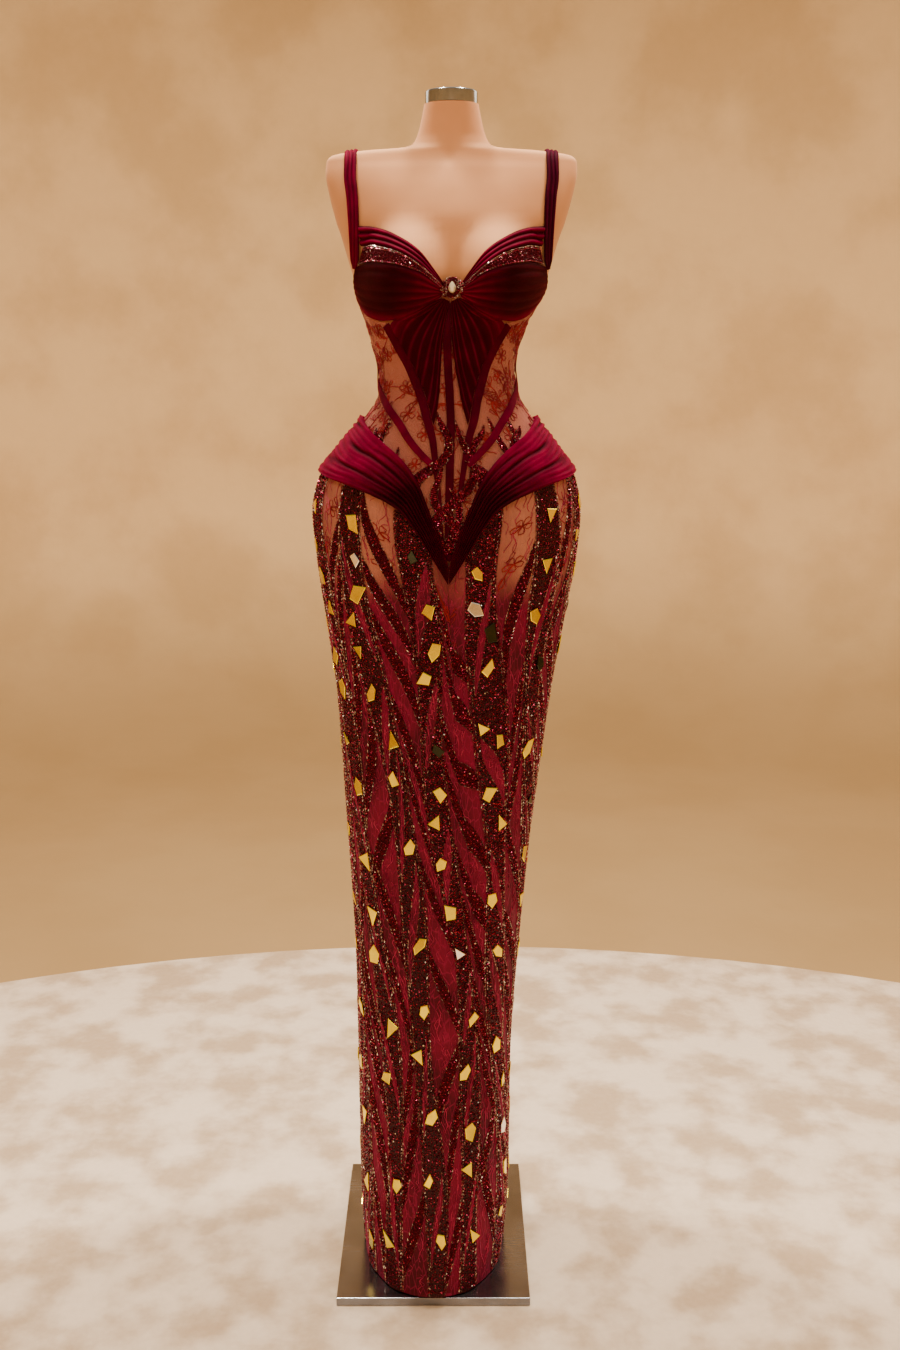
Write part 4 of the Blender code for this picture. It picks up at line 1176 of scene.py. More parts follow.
def cup_place(sign, upper, lower, reach=1.0, spread=0.0):
    """place(s, v) between two of a cup's lines, from the brooch to a share of the way to the strap."""

    def place(s, v):
        line = cup_track.at(s * reach)
        turn_low, low = getattr(line, lower + "_turn"), getattr(line, lower)
        turn_high, high = getattr(line, upper + "_turn"), getattr(line, upper)
        margin = 0.0004 / (high - low + 0.0008)
        share = margin + (1 - 2 * margin) * v
        turn = between(turn_low, turn_high, share) + spread * smooth_step(0.8, 1.0, s)
        return on_figure(sided(sign, turn), between(low, high, share))

    return place


CupCrease = namedtuple("CupCrease", "foot head reach depth width")
CUP_CREASES = table(
    CupCrease,
    (0.90, 0.84, 0.85, 0.0009, 0.035),
    (0.74, 0.66, 0.62, 0.0012, 0.040),
    (0.57, 0.47, 0.95, 0.0011, 0.045),
    (0.40, 0.30, 0.70, 0.0013, 0.042),
    (0.25, 0.17, 0.98, 0.0010, 0.036),
    (0.11, 0.07, 0.80, 0.0008, 0.028),
)


def build_cups():
    """Draped cups, rolled neckline edges and the beaded crescents between them."""
    def draped(s, v):
        depth = CUP_FOLD * (0.55 + 0.45 * np.sin(np.pi * np.minimum(1.0, s * 1.25)))
        soft = pleat(v, CUP_FOLDS) ** 1.3 * (1 - 0.45 * smooth_step(0.35, 0.8, s))
        creases = sum(
            crease.depth * bell(v, between(crease.foot, crease.head, s), crease.width)
            * smooth_step(crease.reach, crease.reach - 0.35, s)
            for crease in CUP_CREASES
        )
        return CUP_IN, CUP_OUT + 0.0004 + depth * soft * 0.9 - creases

    # Painted highlights on the fold crests, and painted light near the brooch and along the lower edge.
    def draped_marks(s, v):
        near = smooth_step(0.55, 0.05, s)
        lower = bell(v, 0.03, 0.10) * smooth_step(0.10, 0.35, s)
        lines = pleat(v, CUP_FOLDS) ** 9 * (0.12 + 0.88 * near)
        return {"fold": lines * 0.6, "glow": 0.34 * lower + near * (0.10 + 0.26 * pleat(v, CUP_FOLDS))}

    def rolled(s, v):
        return CUP_IN, ROLL_OUT + ROLL_FOLD * pleat(v, ROLL_FOLDS) ** 1.2 * (0.45 + 0.55 * s)

    # Painted highlights on the roll crests, and a little painted light that follows them.
    def rolled_marks(s, v):
        return {"fold": pleat(v, ROLL_FOLDS) ** 5, "glow": 0.05 + 0.14 * pleat(v, ROLL_FOLDS) ** 2}

    def beaded(s, v):
        return CUP_IN, CRESCENT_OUT

    rng = np.random.default_rng(23)
    seeds, bugles = [], []
    for side, sign in sides():
        piece, cut = cloth(f"draped_cup_{side}", FINISHES["velvet"], cup_place(sign, "mid", "under"),
                           draped, *CUP_GRID, draped_marks)
        sew(piece, f"cup_drape_{side}", cut=cut, fullness=1.12)
        roll = cup_place(sign, "neck", "roll", spread=END_SPREAD)
        piece, cut = cloth(f"rolled_edge_{side}", FINISHES["velvet"], roll, rolled,
                           *ROLL_GRID, rolled_marks)
        sew(piece, f"cup_roll_{side}", cut=cut, fullness=1.15)
        crescent = cup_place(sign, "roll", "mid", CRESCENT_REACH, END_SPREAD)
        piece, cut = cloth(f"crescent_ground_{side}", FINISHES["beaded_ground"], crescent, beaded,
                           *CRESCENT_GRID)
        sew(piece, f"cup_crescent_{side}", cut=cut, fullness=1.02)
        s, v = rng.random(CRESCENT_BEADS), rng.random(CRESCENT_BEADS)
        point, normal = crescent(0.02 + 0.96 * s, 0.03 + 0.90 * v)
        plain = rng.random(CRESCENT_BEADS) < 0.985
        tone = np.where(plain, dark_tones(rng, CRESCENT_BEADS) * 0.62, 0.95)
        seeds.append(scattered(rng, point, normal, CRESCENT_OUT + 0.0004, tone))
        for height, pitch in ((0.95, 0.0026), (0.82, 0.0030), (0.04, 0.0034)):
            fine, _ = crescent(np.linspace(0.02, 0.99, 200), np.full(200, height))
            share = 0.02 + 0.97 * evenly(fine, pitch) / 199
            point, normal = crescent(share, np.full(len(share), height))
            shine = 0.95 if height > 0.9 else 0.80
            tone = rng.uniform(shine - 0.30, shine, len(share))
            bugles.append(laid_along(rng, point, normal, CRESCENT_OUT + 0.0007, tone, 0.5))
    bead_piece("crescent_beads", seeds, CRESCENT_BEAD)
    bead_piece("crescent_bugles", bugles, CRESCENT_BUGLE)


def torso_excess(point):
    """Below 0 inside the figure without its bust, and above 0 outside."""
    row = figure_track.at(point[..., 2])
    depth = np.where(point[..., 1] < 0, row.front, row.back)
    across = np.abs(point[..., 0] - row.centre_x) / row.half_width
    return across ** row.square + (np.abs(point[..., 1]) / depth) ** row.square - 1


def surface_normal(point):
    slopes = []
    for axis in np.eye(3) * 0.0008:
        slopes.append(torso_excess(point + axis) - torso_excess(point - axis))
    return unit(np.stack(slopes, -1))


def outwards(start, direction):
    """The points where lines from inside the figure leave it."""
    near, far = np.zeros(len(start)), np.full(len(start), 0.2)
    for _ in range(40):
        middle = (near + far) / 2
        inside = torso_excess(start + direction * middle[:, None]) < 0
        near, far = np.where(inside, middle, near), np.where(inside, far, middle)
    return start + direction * near[:, None]


def strap_points(sign):
    """A strap's middle line, up the chest, over the shoulder and down the back."""
    steps = 40
    heights = np.linspace(0, 1, steps)
    front = Track(STRAP_FRONT)
    back = Track(STRAP_BACK)
    starts, ways = [], []
    for z in between(front.places[0] - STRAP_TUCK, RIDGE_HEART, heights):
        starts.append((FIGURE_MIDDLE_X + sign * float(front.at(z).x), 0.0, z))
        ways.append((0.0, -1.0, 0.0))
    for angle in np.linspace(0, math.pi, steps + 2)[1:-1]:
        starts.append((FIGURE_MIDDLE_X + sign * RIDGE_X, 0.0, RIDGE_HEART))
        ways.append((0.0, -math.cos(angle), math.sin(angle)))
    for z in between(RIDGE_HEART, back.places[0], heights):
        starts.append((FIGURE_MIDDLE_X + sign * float(back.at(z).x), 0.0, z))
        ways.append((0.0, 1.0, 0.0))
    points = outwards(np.array(starts), np.array(ways))
    run = np.concatenate([[0.0], np.cumsum(np.linalg.norm(np.diff(points, axis=0), axis=-1))])
    even = np.linspace(0, run[-1], len(points))
    line = np.stack([np.interp(even, run, points[:, i]) for i in range(3)], -1)
    for _ in range(12):
        line[1:-1] = (line[:-2] + 2 * line[1:-1] + line[2:]) / 4
    return line


def build_straps():
    """Pleated shoulder straps."""
    def fold(s, v):
        drift = 0.035 * np.sin(v * 9 + s * 4) + 0.02 * np.sin(v * 23)
        return pleat(np.clip(s + drift * (1 - (2 * s - 1) ** 2), 0, 1), STRAP_PLEATS) ** 1.2

    def lifts(s, v):
        return STRAP_IN, STRAP_OUT + STRAP_FOLD * fold(s, v)

    for side, sign in sides():
        line = strap_points(sign)

        def middle(v, line=line):
            point = picked(line, v * (len(line) - 1))
            return point, surface_normal(point)

        # Painted highlights on the pleat crests, and painted light on the right strap only.
        def marks(s, v, sign=sign):
            return {"fold": fold(s, v) ** 3, "glow": (0.42 if sign < 0 else 0.05) + 0 * s}

        place = ribbon_place(middle, lambda v: STRAP_WIDTH * (0.4 + 0.6 * smooth_step(0.0, 0.03, v)))
        # The left strap is a darker plum copy of the velvet, a painted shade; the right one is crimson
        # with painted light.
        finish = FINISHES["velvet_painted_shade"] if sign > 0 else FINISHES["velvet_light"]
        piece, cut = cloth(f"gathered_strap_{side}", finish, place, lifts, *STRAP_GRID, marks)
        sew(piece, f"strap_{side}", cut=cut, fullness=1.15)


# Creases of the hip drapes: across from the lower edge, along from the centre front to the back
DrapeCrease = namedtuple("DrapeCrease", "start end across across_end depth width")
DRAPE_CREASES = table(
    DrapeCrease,
    (0.05, 0.42, 0.90, 0.80, 0.0020, 0.030),
    (0.10, 0.55, 0.72, 0.62, 0.0024, 0.038),
    (0.06, 0.38, 0.55, 0.42, 0.0018, 0.030),
    (0.14, 0.60, 0.36, 0.26, 0.0022, 0.036),
    (0.08, 0.34, 0.20, 0.10, 0.0016, 0.026),
    (0.48, 0.72, 0.93, 0.84, 0.0022, 0.030),
    (0.52, 0.80, 0.80, 0.69, 0.0018, 0.028),
    (0.62, 0.96, 0.50, 0.58, 0.0019, 0.040),
    (0.70, 0.99, 0.30, 0.40, 0.0021, 0.036),
    (0.66, 0.94, 0.14, 0.18, 0.0016, 0.030),
)


def crease_depth(crease, s, v):
    """How deep one crease of a hip drape is at a place."""
    along = (v - crease.start) / (crease.end - crease.start)
    middle = between(crease.across, crease.across_end, along)
    sinks = smooth_step(crease.start, crease.start + 0.07, v)
    rises = smooth_step(crease.end, crease.end - 0.09, v)
    return crease.depth * bell(s, middle, crease.width) * sinks * rises


def build_drapes():
    """Pleated hip drapes, from the centre front to the centre back."""
    def creases(s, v):
        return sum(crease_depth(crease, s, v) for crease in DRAPE_CREASES)

    def fold(s, v):
        drift = 0.014 * np.sin(v * 11 + s * 6) + 0.010 * np.sin(v * 27 + 2)
        return pleat(np.clip(s + drift * np.sin(np.pi * s), 0, 1), DRAPE_PLEATS)

    def gathers(s, v):
        """Fine gathers that run in from the side and fade towards the front and back."""
        wave = np.sin(2 * np.pi * (s * 11 + 0.5 * np.sin(v * 14 + s * 5)) + 1.3 * np.sin(s * 17))
        return wave * bell(v, 0.56, 0.15)

    def flatness(v):
        return smooth_step(0.16, 0.36, v) * (1 - 0.75 * smooth_step(0.82, 1.0, v))

    def lifts(s, v):
        depth = DRAPE_FOLD * (0.62 + 0.38 * np.sin(np.pi * np.minimum(1.0, v / 1.36)))
        flat = flatness(v)
        pleated = depth * between(fold(s, v) ** 1.1, 0.62 + 0.16 * fold(s, v), flat)
        return DRAPE_IN, DRAPE_OUT + 0.0006 + pleated + 0.0006 * gathers(s, v) - creases(s, v)

    # Painted light on the sides, fading towards the centre front and back, painted shade in the creases
    # and between the gathers, and painted highlights on the pleat crests, most where the sides are not
    # painted bright.
    def marks(s, v):
        near = 1 - smooth_step(0.20, 0.44, v + 0.10 * (s - 0.5))
        behind = smooth_step(0.74, 0.95, v)
        bright = (1 - near) * (1 - 0.85 * behind)
        shade = np.clip(creases(s, v) / 0.0020, 0, 1) + 0.35 * np.clip(-gathers(s, v), 0, 1)
        glow = bright * (0.88 - 0.62 * shade + 0.10 * gathers(s, v))
        return {"fold": fold(s, v) ** 6 * (0.45 - 0.35 * bright), "glow": np.clip(glow, 0, 1)}

    for side, sign in sides():
        def place(s, v, sign=sign):
            line = drape_track.at(v)
            turn = between(line.low_turn, line.high_turn, s)
            return on_figure(sided(sign, turn), between(line.low, line.high, s))

        piece, cut = cloth(f"velvet_swag_{side}", FINISHES["velvet_light"], place, lifts,
                           *DRAPE_GRID, marks)
        sew(piece, f"hip_drape_{side}", cut, 1.15)


# The skirt and its beading

def band_middle(band, z):
    """Turn of a band's middle line: a long sweep round the skirt, and a sway."""
    sweep = SWEEP * (1 - smooth_step(SWEEP_LOW, SWEEP_HIGH, z))
    sway = SWAY * np.sin(2 * np.pi * z / SWAY_HEIGHT + np.radians(SWAY_PHASE * band))
    sway = sway * (1 - smooth_step(SWAY_FADE_LOW, SWAY_FADE_HIGH, z))
    return CENTRE_FRONT + 360.0 * (band + 0.5) / BANDS + sweep + sway


def band_half_width(band, z):
    swell = BAND_SWELL * np.sin(2 * np.pi * z / SWELL_HEIGHT + np.radians(SWELL_PHASE * band))
    return 180.0 / BANDS * (BAND_SHARE + swell)


def gap_middle(band, z):
    before = band_middle(band - 1, z) + band_half_width(band - 1, z)
    return (before + band_middle(band, z) - band_half_width(band, z)) / 2


def skirt_turn(round_place, z):
    """Turn at a place round the skirt, counted in bands, at a height of the bands' pattern."""
    band = np.floor(round_place)
    share = round_place - band
    middle, half = band_middle(band, z), band_half_width(band, z)
    before = between(gap_middle(band, z), middle - half, share / BAND_LOW)
    inside = between(middle - half, middle + half, (share - BAND_LOW) / (BAND_HIGH - BAND_LOW))
    after = between(middle + half, gap_middle(band + 1, z), (share - BAND_HIGH) / (1 - BAND_HIGH))
    return np.where(share < BAND_LOW, before, np.where(share < BAND_HIGH, inside, after))


def skirt_place(round_place, v):
    """Turn and height on the skirt. v runs from the hem to the seam with the bodice."""
    top = waist_track.at(from_front(skirt_turn(round_place, BAND_TOP))).z
    return skirt_turn(round_place, between(HEM, BAND_TOP, v)), between(HEM, top, v)


def band_share(round_place):
    """1 on a band's crest, falling to 0 at its edges."""
    share = round_place % 1.0
    edge = 1 - np.abs(share - 0.5) / ((BAND_HIGH - BAND_LOW) / 2)
    return smooth_step(0.0, 0.26, edge)


def skirt_rise(round_place, turn, z):
    foot = drape_foot_track.at(from_front(turn)).z
    return BAND_RISE * band_share(round_place) * (1 - smooth_step(foot - 0.03, foot, z))


def on_skirt(round_place, v, lift=0.0):
    """Points on the skirt's outer face, and normals."""
    turn, z = skirt_place(round_place, v)
    point, normal = on_figure(turn, z)
    height = SKIRT_OUT + skirt_rise(round_place, turn, z) + lift
    return point + normal * height[..., None], normal


def gore_round(gore, s):
    """Places round the skirt across a gore. The last one stays just inside it."""
    return (gore + s) * BANDS_A_GORE - 1e-9 * (s == 1)


def build_skirt():
    """The skirt's four gores, their seams between the bands."""
    def crimp(round_place, v):
        """Small folds that the beading's weight leaves in the lace."""
        wave = np.sin(round_place * 9.2 + v * 31) * np.sin(round_place * 3.7 - v * 17)
        return 0.0004 * wave * (1 - band_share(round_place))

    for gore, name in enumerate(GORES):
        def place(s, v, gore=gore):
            round_place = gore_round(gore, s)
            turn, z = skirt_place(round_place, v)
            return on_figure(turn + 0.10 * ((s == 0) * 1.0 - (s == 1) * 1.0), z)

        def lifts(s, v, gore=gore):
            round_place = gore_round(gore, s)
            turn, z = skirt_place(round_place, v)
            over = 0.0017 * (v > 0.9985)
            hem = 0.0006 * smooth_step(0.010, 0.0, v)
            outer = SKIRT_OUT + over + hem + crimp(round_place, v) + skirt_rise(round_place, turn, z)
            return SKIRT_IN + over, outer

        def marks(s, v, gore=gore):
            round_place = gore_round(gore, s)
            turn, z = skirt_place(round_place, v)
            band = smooth_step(0.0, 0.35, band_share(round_place))
            side = bell(from_front(turn), 42, 20) + bell(from_front(turn), 118, 24)
            patch = smooth_step(1.0, 1.065, z + 0.012 * np.sin(round_place * 5)) * (1 - band)
            return {"band": band, "nude": np.clip(patch * (0.25 + side), 0, 1)}

        piece, cut = cloth(f"skirt_lace_{name}", FINISHES["skirt"], place, lifts,
                           *SKIRT_GRID, marks)
        sew(piece, f"skirt_{name}", cut, 1.03)


def band_seeds(rng, band, spacing, slits):
    """Beads all over a band but its slits, in uneven rows across it."""
    parts = []
    rows = int((BAND_TOP - HEM) / spacing)
    for v in np.linspace(0.004, 0.997, rows):
        turn, z = skirt_place(np.array([band + BAND_LOW, band + BAND_HIGH]), v)
        width = np.linalg.norm(np.diff(figure_point(turn, z), axis=0))
        number = max(3, int(width / spacing))
        share = (np.arange(number) + rng.uniform(-0.35, 0.35, number) + 0.5) / number
        high = v + rng.uniform(-0.45, 0.45, number) / rows
        place = between(BAND_LOW, BAND_HIGH, np.clip(share, 0.02, 0.98))
        parts.append(np.stack([band + place, np.clip(high, 0.002, 0.999)], -1))
    places = np.concatenate(parts)
    places = places[~on_leaf(slits, places[:, 0], places[:, 1], 0.004)]
    point, normal = on_skirt(places[:, 0], places[:, 1])
    return scattered(rng, point, normal, 0.0006, dark_tones(rng, len(point)))


def bugle_row(rng, round_line, v_line, slant):
    """Bugles sewn end to end along a line on the skirt."""
    fine, _ = on_skirt(round_line, v_line)
    at = evenly(fine, BUGLE_PITCH)
    point, normal = on_skirt(picked(round_line, at), picked(v_line, at))
    return laid_along(rng, point, normal, 0.0012, edge_tones(rng, len(point)), slant)


# A tapered leaf shape: its ends as shares of the skirt's height and places round it
Leaf = namedtuple("Leaf", "start end low high width")


def leaves(rng, middle, reach, lengths, strides, widths):
    """Leaf shapes that curve from side to side of each strip of the skirt, one above another."""
    found = []
    for strip in range(BANDS):
        lean = reach if strip % 3 else -reach
        start = rng.uniform(0.005, 0.05)
        while start < 0.90:
            end = start + rng.uniform(*lengths)
            if end < 0.99:
                side = strip + middle
                found.append(Leaf(start, end, side - lean, side + lean, rng.uniform(*widths)))
            start += rng.uniform(*strides) * between(1.0, 0.6, smooth_step(0.70, 0.80, start))
            lean = -lean if rng.random() < 0.16 else lean
    return found


def leaf_swell(leaf, share):
    return leaf.width / 2 * np.sin(np.pi * np.clip(share, 0, 1)) ** 0.75


def leaf_middle(leaf, share):
    return between(leaf.low, leaf.high, smooth_step(-0.08, 1.08, share))


def leaf_place(leaf, across, share):
    """Places on a leaf: across is -1 to 1 over its width, share 0 to 1 along it."""
    swell = leaf_swell(leaf, share)
    slant = -0.035 * math.copysign(1, leaf.high - leaf.low)
    rise = across * swell * slant
    return leaf_middle(leaf, share) + across * swell, between(leaf.start, leaf.end, share) + rise


def on_leaf(found, round_place, v, margin=0.0):
    """Which places lie on one of the leaves."""
    inside = np.zeros(np.shape(v), bool)
    for leaf in found:
        share = (v - leaf.start) / (leaf.end - leaf.start)
        aside = (round_place - leaf_middle(leaf, share) + BANDS / 2) % BANDS - BANDS / 2
        within = np.abs(aside) < leaf_swell(leaf, share) + margin
        inside |= within & (share > 0) & (share < 1)
    return inside


def near_strip(found, strip):
    """The leaves whose middle lies within half a band's pitch of a place round the skirt."""
    return [leaf for leaf in found
            if abs(((leaf.low + leaf.high) / 2 - strip + BANDS / 2) % BANDS - BANDS / 2) < 0.5]


def leaf_seeds(rng, leaf, spacing):
    """Beads all over a leaf, in uneven rows across it."""
    length = (leaf.end - leaf.start) * (BAND_TOP - HEM)
    places = []
    for share in np.linspace(0.03, 0.97, int(length / spacing)):
        (low, v), (high, _) = (leaf_place(leaf, side, share) for side in (-1, 1))
        turn, z = skirt_place(np.array([low, high]) % BANDS, v)
        number = int(np.linalg.norm(np.diff(figure_point(turn, z), axis=0)) / spacing + 0.5)
        if number:
            across = (np.arange(number) + 0.5 + rng.uniform(-0.3, 0.3, number)) / number * 2 - 1
            along = share + rng.uniform(-0.45, 0.45, number) * spacing / length
            places.append(np.stack(leaf_place(leaf, across * 0.85, along), -1))
    places = np.concatenate(places)
    point, normal = on_skirt(places[:, 0] % BANDS, places[:, 1])
    return scattered(rng, point, normal, 0.0012, dark_tones(rng, len(point)))


def strip_piece(name, strips, finish):
    """Thin closed strips as one piece, each from a grid of top points and one of under points."""
    vertices, faces = [], []
    for top, under in strips:
        outer = len(vertices) + np.arange(top.shape[0] * top.shape[1]).reshape(top.shape[:2])
        inner = outer + outer.size
        vertices += top.reshape(-1, 3).tolist() + under.reshape(-1, 3).tolist()
        for grid, order in ((outer, 1), (inner, -1)):
            quads = np.stack([grid[:-1, :-1], grid[1:, :-1], grid[1:, 1:], grid[:-1, 1:]], -1)
            faces += quads.reshape(-1, 4)[:, ::order].tolist()
        border = [*outer[:, 0], *outer[-1, 1:], *outer[-2::-1, -1], *outer[0, -2:0:-1]]
        for i, corner in enumerate(border):
            faces.append((border[i - 1], corner, corner + outer.size, border[i - 1] + outer.size))
    mesh = bpy.data.meshes.new(name)
    mesh.from_pydata(vertices, [], faces)
    turn_outwards(mesh)
    sew(new_object(name, mesh, finish, 50))


def leaf_grounds(name, found, finish):
    """The cloth under the beads or cords of leaves."""
    across, share = np.meshgrid(np.linspace(-1, 1, 3), np.linspace(0.01, 0.99, 13), indexing="ij")
    strips = []
    for leaf in found:
        place, v = leaf_place(leaf, across, share)
        strips.append([on_skirt(place % BANDS, v, height)[0] for height in (0.0009, 0.0001)])
    strip_piece(name, strips, finish)


def build_beading():
    """Beads on the bands and leaves, and bugles along their edges, one piece for each gore."""
    rng = np.random.default_rng(7)
    settings = bpy.context.scene.evening_dress
    spacing = settings.bead_spacing
    round_bead = {"Width": settings.bead_width, "Length": settings.bead_width}
    strokes, slits = gap_leaves(), band_slits()
    leaf_grounds("leaf_grounds", strokes, FINISHES["beaded_ground"])
    leaf_grounds("slit_grounds", slits, FINISHES["skirt"])
    v_line = np.linspace(0.003, 0.998, 420)
    share = np.linspace(0.01, 0.99, 90)
    for gore, name in enumerate(GORES):
        beads, bugles = [], []
        for band in range(gore * BANDS_A_GORE, (gore + 1) * BANDS_A_GORE):
            beads.append(band_seeds(rng, band, spacing, near_strip(slits, band + 0.5)))
            for edge, inward in ((BAND_LOW, 1), (BAND_HIGH, -1)):
                for offset, slant in EDGE_ROWS:
                    line = band + edge + inward * offset + 0 * v_line
                    bugles.append(bugle_row(rng, line, v_line, slant * inward))
            for leaf in near_strip(strokes, band):
                beads.append(leaf_seeds(rng, leaf, spacing))
            for leaf in near_strip(strokes, band) + near_strip(slits, band + 0.5):
                for side in (-1.0, 1.0):
                    line, high = leaf_place(leaf, side + 0 * share, share)
                    bugles.append(bugle_row(rng, line % BANDS, high, 0.3 * side))
        bead_piece(f"skirt_beads_{name}", beads, round_bead)
        bead_piece(f"skirt_bugles_{name}", bugles, SKIRT_BUGLE)


def build_cords():
    """Short wavy cords worked into the lace between the bands and in the slits."""
    rng = np.random.default_rng(31)
    strokes, slits = gap_leaves(), band_slits()
    share = np.linspace(0, 1, 8)
    taper = 0.45 + 0.55 * np.sin(np.pi * share)
    lines = []
    for gap in range(BANDS):
        around = near_strip(strokes, gap)
        for start in np.arange(0.004, 0.97, 0.0072):
            sway = rng.uniform(0.05, 0.2) * np.sin(share * rng.uniform(4, 11) + rng.uniform(0, 6))
            aside = rng.uniform(-0.9, 0.9) + rng.uniform(-0.5, 0.5) * (share - 0.5) + sway
            place = gap + np.clip(aside, -0.97, 0.97) * BAND_LOW
            v = start + share * rng.uniform(0.014, 0.042)
            run = np.stack([place, v, rng.uniform(0.6, 1.3) * taper], -1)
            for kept in kept_runs(run, ~on_leaf(around, place, v, 0.006)):
                point, _ = on_skirt(kept[:, 0] % BANDS, np.clip(kept[:, 1], 0.002, 0.995), 0.0003)
                lines.append((point, kept[:, 2]))
    for leaf in slits:
        for start in np.arange(0.06, 0.84, 0.075):
            along = start + share * rng.uniform(0.10, 0.22)
            across = rng.uniform(-0.5, 0.5) + 0.3 * np.sin(share * rng.uniform(4, 9) + rng.uniform(0, 6))
            place, v = leaf_place(leaf, np.clip(across, -0.8, 0.8), np.minimum(along, 0.97))
            point, _ = on_skirt(place % BANDS, v, 0.0011)
            lines.append((point, rng.uniform(0.6, 1.1) * taper))
    piece = grown("lace_cords", line_mesh(lines), TREES["thread"], FINISHES["cord"], Radius=0.00062)
    sew(piece)


def gap_leaves():
    """Beaded leaves that cross the gaps, from one band to the next."""
    return leaves(np.random.default_rng(5), middle=0.0, reach=BAND_LOW, lengths=(0.10, 0.17),
                  strides=(0.078, 0.118), widths=(0.12, 0.16))


def band_slits():
    """Openings in the beading that cross the bands, where the lace shows."""
    return leaves(np.random.default_rng(19), middle=0.5, reach=0.20, lengths=(0.10, 0.17),
                  strides=(0.115, 0.19), widths=(0.13, 0.18))


SHARDS = (
    ((0.0, 0.56), (0.42, -0.40), (-0.44, -0.30)),
    ((-0.06, 0.52), (0.40, 0.12), (0.24, -0.50), (-0.40, -0.34)),
    ((-0.34, 0.42), (0.26, 0.50), (0.42, -0.44), (-0.38, -0.26)),
    ((0.02, 0.54), (0.38, 0.08), (0.30, -0.46), (-0.28, -0.42), (-0.40, 0.14)),
    ((-0.42, 0.30), (0.46, 0.36), (0.12, -0.52)),
    ((-0.20, 0.56), (0.30, 0.30), (0.40, -0.30), (-0.10, -0.54), (-0.42, -0.16)),
)


def shard_outline(rng, length, width):
    """An irregular flat shard with three to five corners."""
    outline = np.array(SHARDS[rng.integers(len(SHARDS))]) * rng.uniform(0.88, 1.10, (1, 2))
    return outline * np.array([width * rng.choice((-1, 1)), length * rng.choice((-1, 1))])


def add_plate(shape, outline, middle, across, up, normal):
    """A closed plate with a bevelled upper edge. Its face has material 0 and its edge 1."""
    rings = []
    centre = outline.mean(axis=0)
    short = np.min(np.linalg.norm(outline - centre, axis=1))
    for inward, height in ((0.0, 0.0), (0.0, MIRROR_THICK * 0.45), (MIRROR_BEVEL, MIRROR_THICK)):
        ring = centre + (outline - centre) * (1 - inward / short)
        points = middle + ring[:, :1] * across + ring[:, 1:] * up + normal * height
        rings.append([shape.verts.new(point) for point in points])
    shape.faces.new(rings[-1]).material_index = 0
    shape.faces.new(rings[0][::-1]).material_index = 1
    for low, high in zip(rings, rings[1:]):
        for i in range(len(low)):
            shape.faces.new((low[i - 1], low[i], high[i], high[i - 1])).material_index = 1


def build_mirrors():
    """Gold mirror shards sewn along the bands, and a few silver ones and near black ones that are a
    painted dark reflection.
    """
    rng = np.random.default_rng(17)
    scale = bpy.context.scene.evening_dress.mirror_size
    shapes = {"gold": bmesh.new(), "smoked": bmesh.new(), "silver": bmesh.new()}
    slits = band_slits()
    for band in range(BANDS):
        v = 0.03 + rng.uniform(0, 0.05)
        while v < 0.96:
            offsets = 0.5 + rng.permutation((-0.15, -0.10, -0.04, 0.04, 0.10, 0.15))
            clear = ~on_leaf(near_strip(slits, band + 0.5), band + offsets, v + 0 * offsets, 0.09)
            place = np.array([band + offsets[np.argmax(clear)]])
            point, normal = on_skirt(place, np.array([v]), MIRROR_LIFT)
            ahead, _ = on_skirt(place, np.array([v + 0.004]), MIRROR_LIFT)
            normal = unit(normal[0] + rng.normal(0, 0.055, 3))
            up = unit(ahead[0] - point[0])
            spin = rng.uniform(-0.7, 0.7)
            across = unit(np.cross(up, normal))
            up = unit(up * math.cos(spin) + across * math.sin(spin))
            across = unit(np.cross(up, normal))
            up = unit(np.cross(normal, across))
            size = rng.uniform(0.019, 0.029) * scale
            outline = shard_outline(rng, size, size * rng.uniform(0.72, 0.95))
            if np.cross(outline[1] - outline[0], outline[2] - outline[1]) >= 0:
                outline = outline[::-1]
            # Some shards are silver, and some high on the skirt near black: a painted dark reflection.
            pick = rng.random()
            kind = "gold"
            if PAINTED_DARK_BELOW <= pick < SILVER_BELOW:
                kind = "silver"
            if pick < PAINTED_DARK_BELOW and v >= PAINTED_DARK_FROM:
                kind = "smoked"
            add_plate(shapes[kind], outline, point[0], across, up, normal)
            stride = between(0.064, 0.044, smooth_step(0.55, 0.8, v))
            v += stride * rng.uniform(0.75, 1.4)
            if rng.random() < 0.08:
                v += 0.05
    for kind, shape in shapes.items():
        mesh = mesh_of(f"mirror_shards_{kind}", shape)
        piece = new_object(mesh.name, mesh, FINISHES[f"mirror_{kind}"])
        mesh.materials.append(FINISHES["mirror_edge"])
        sew(piece)


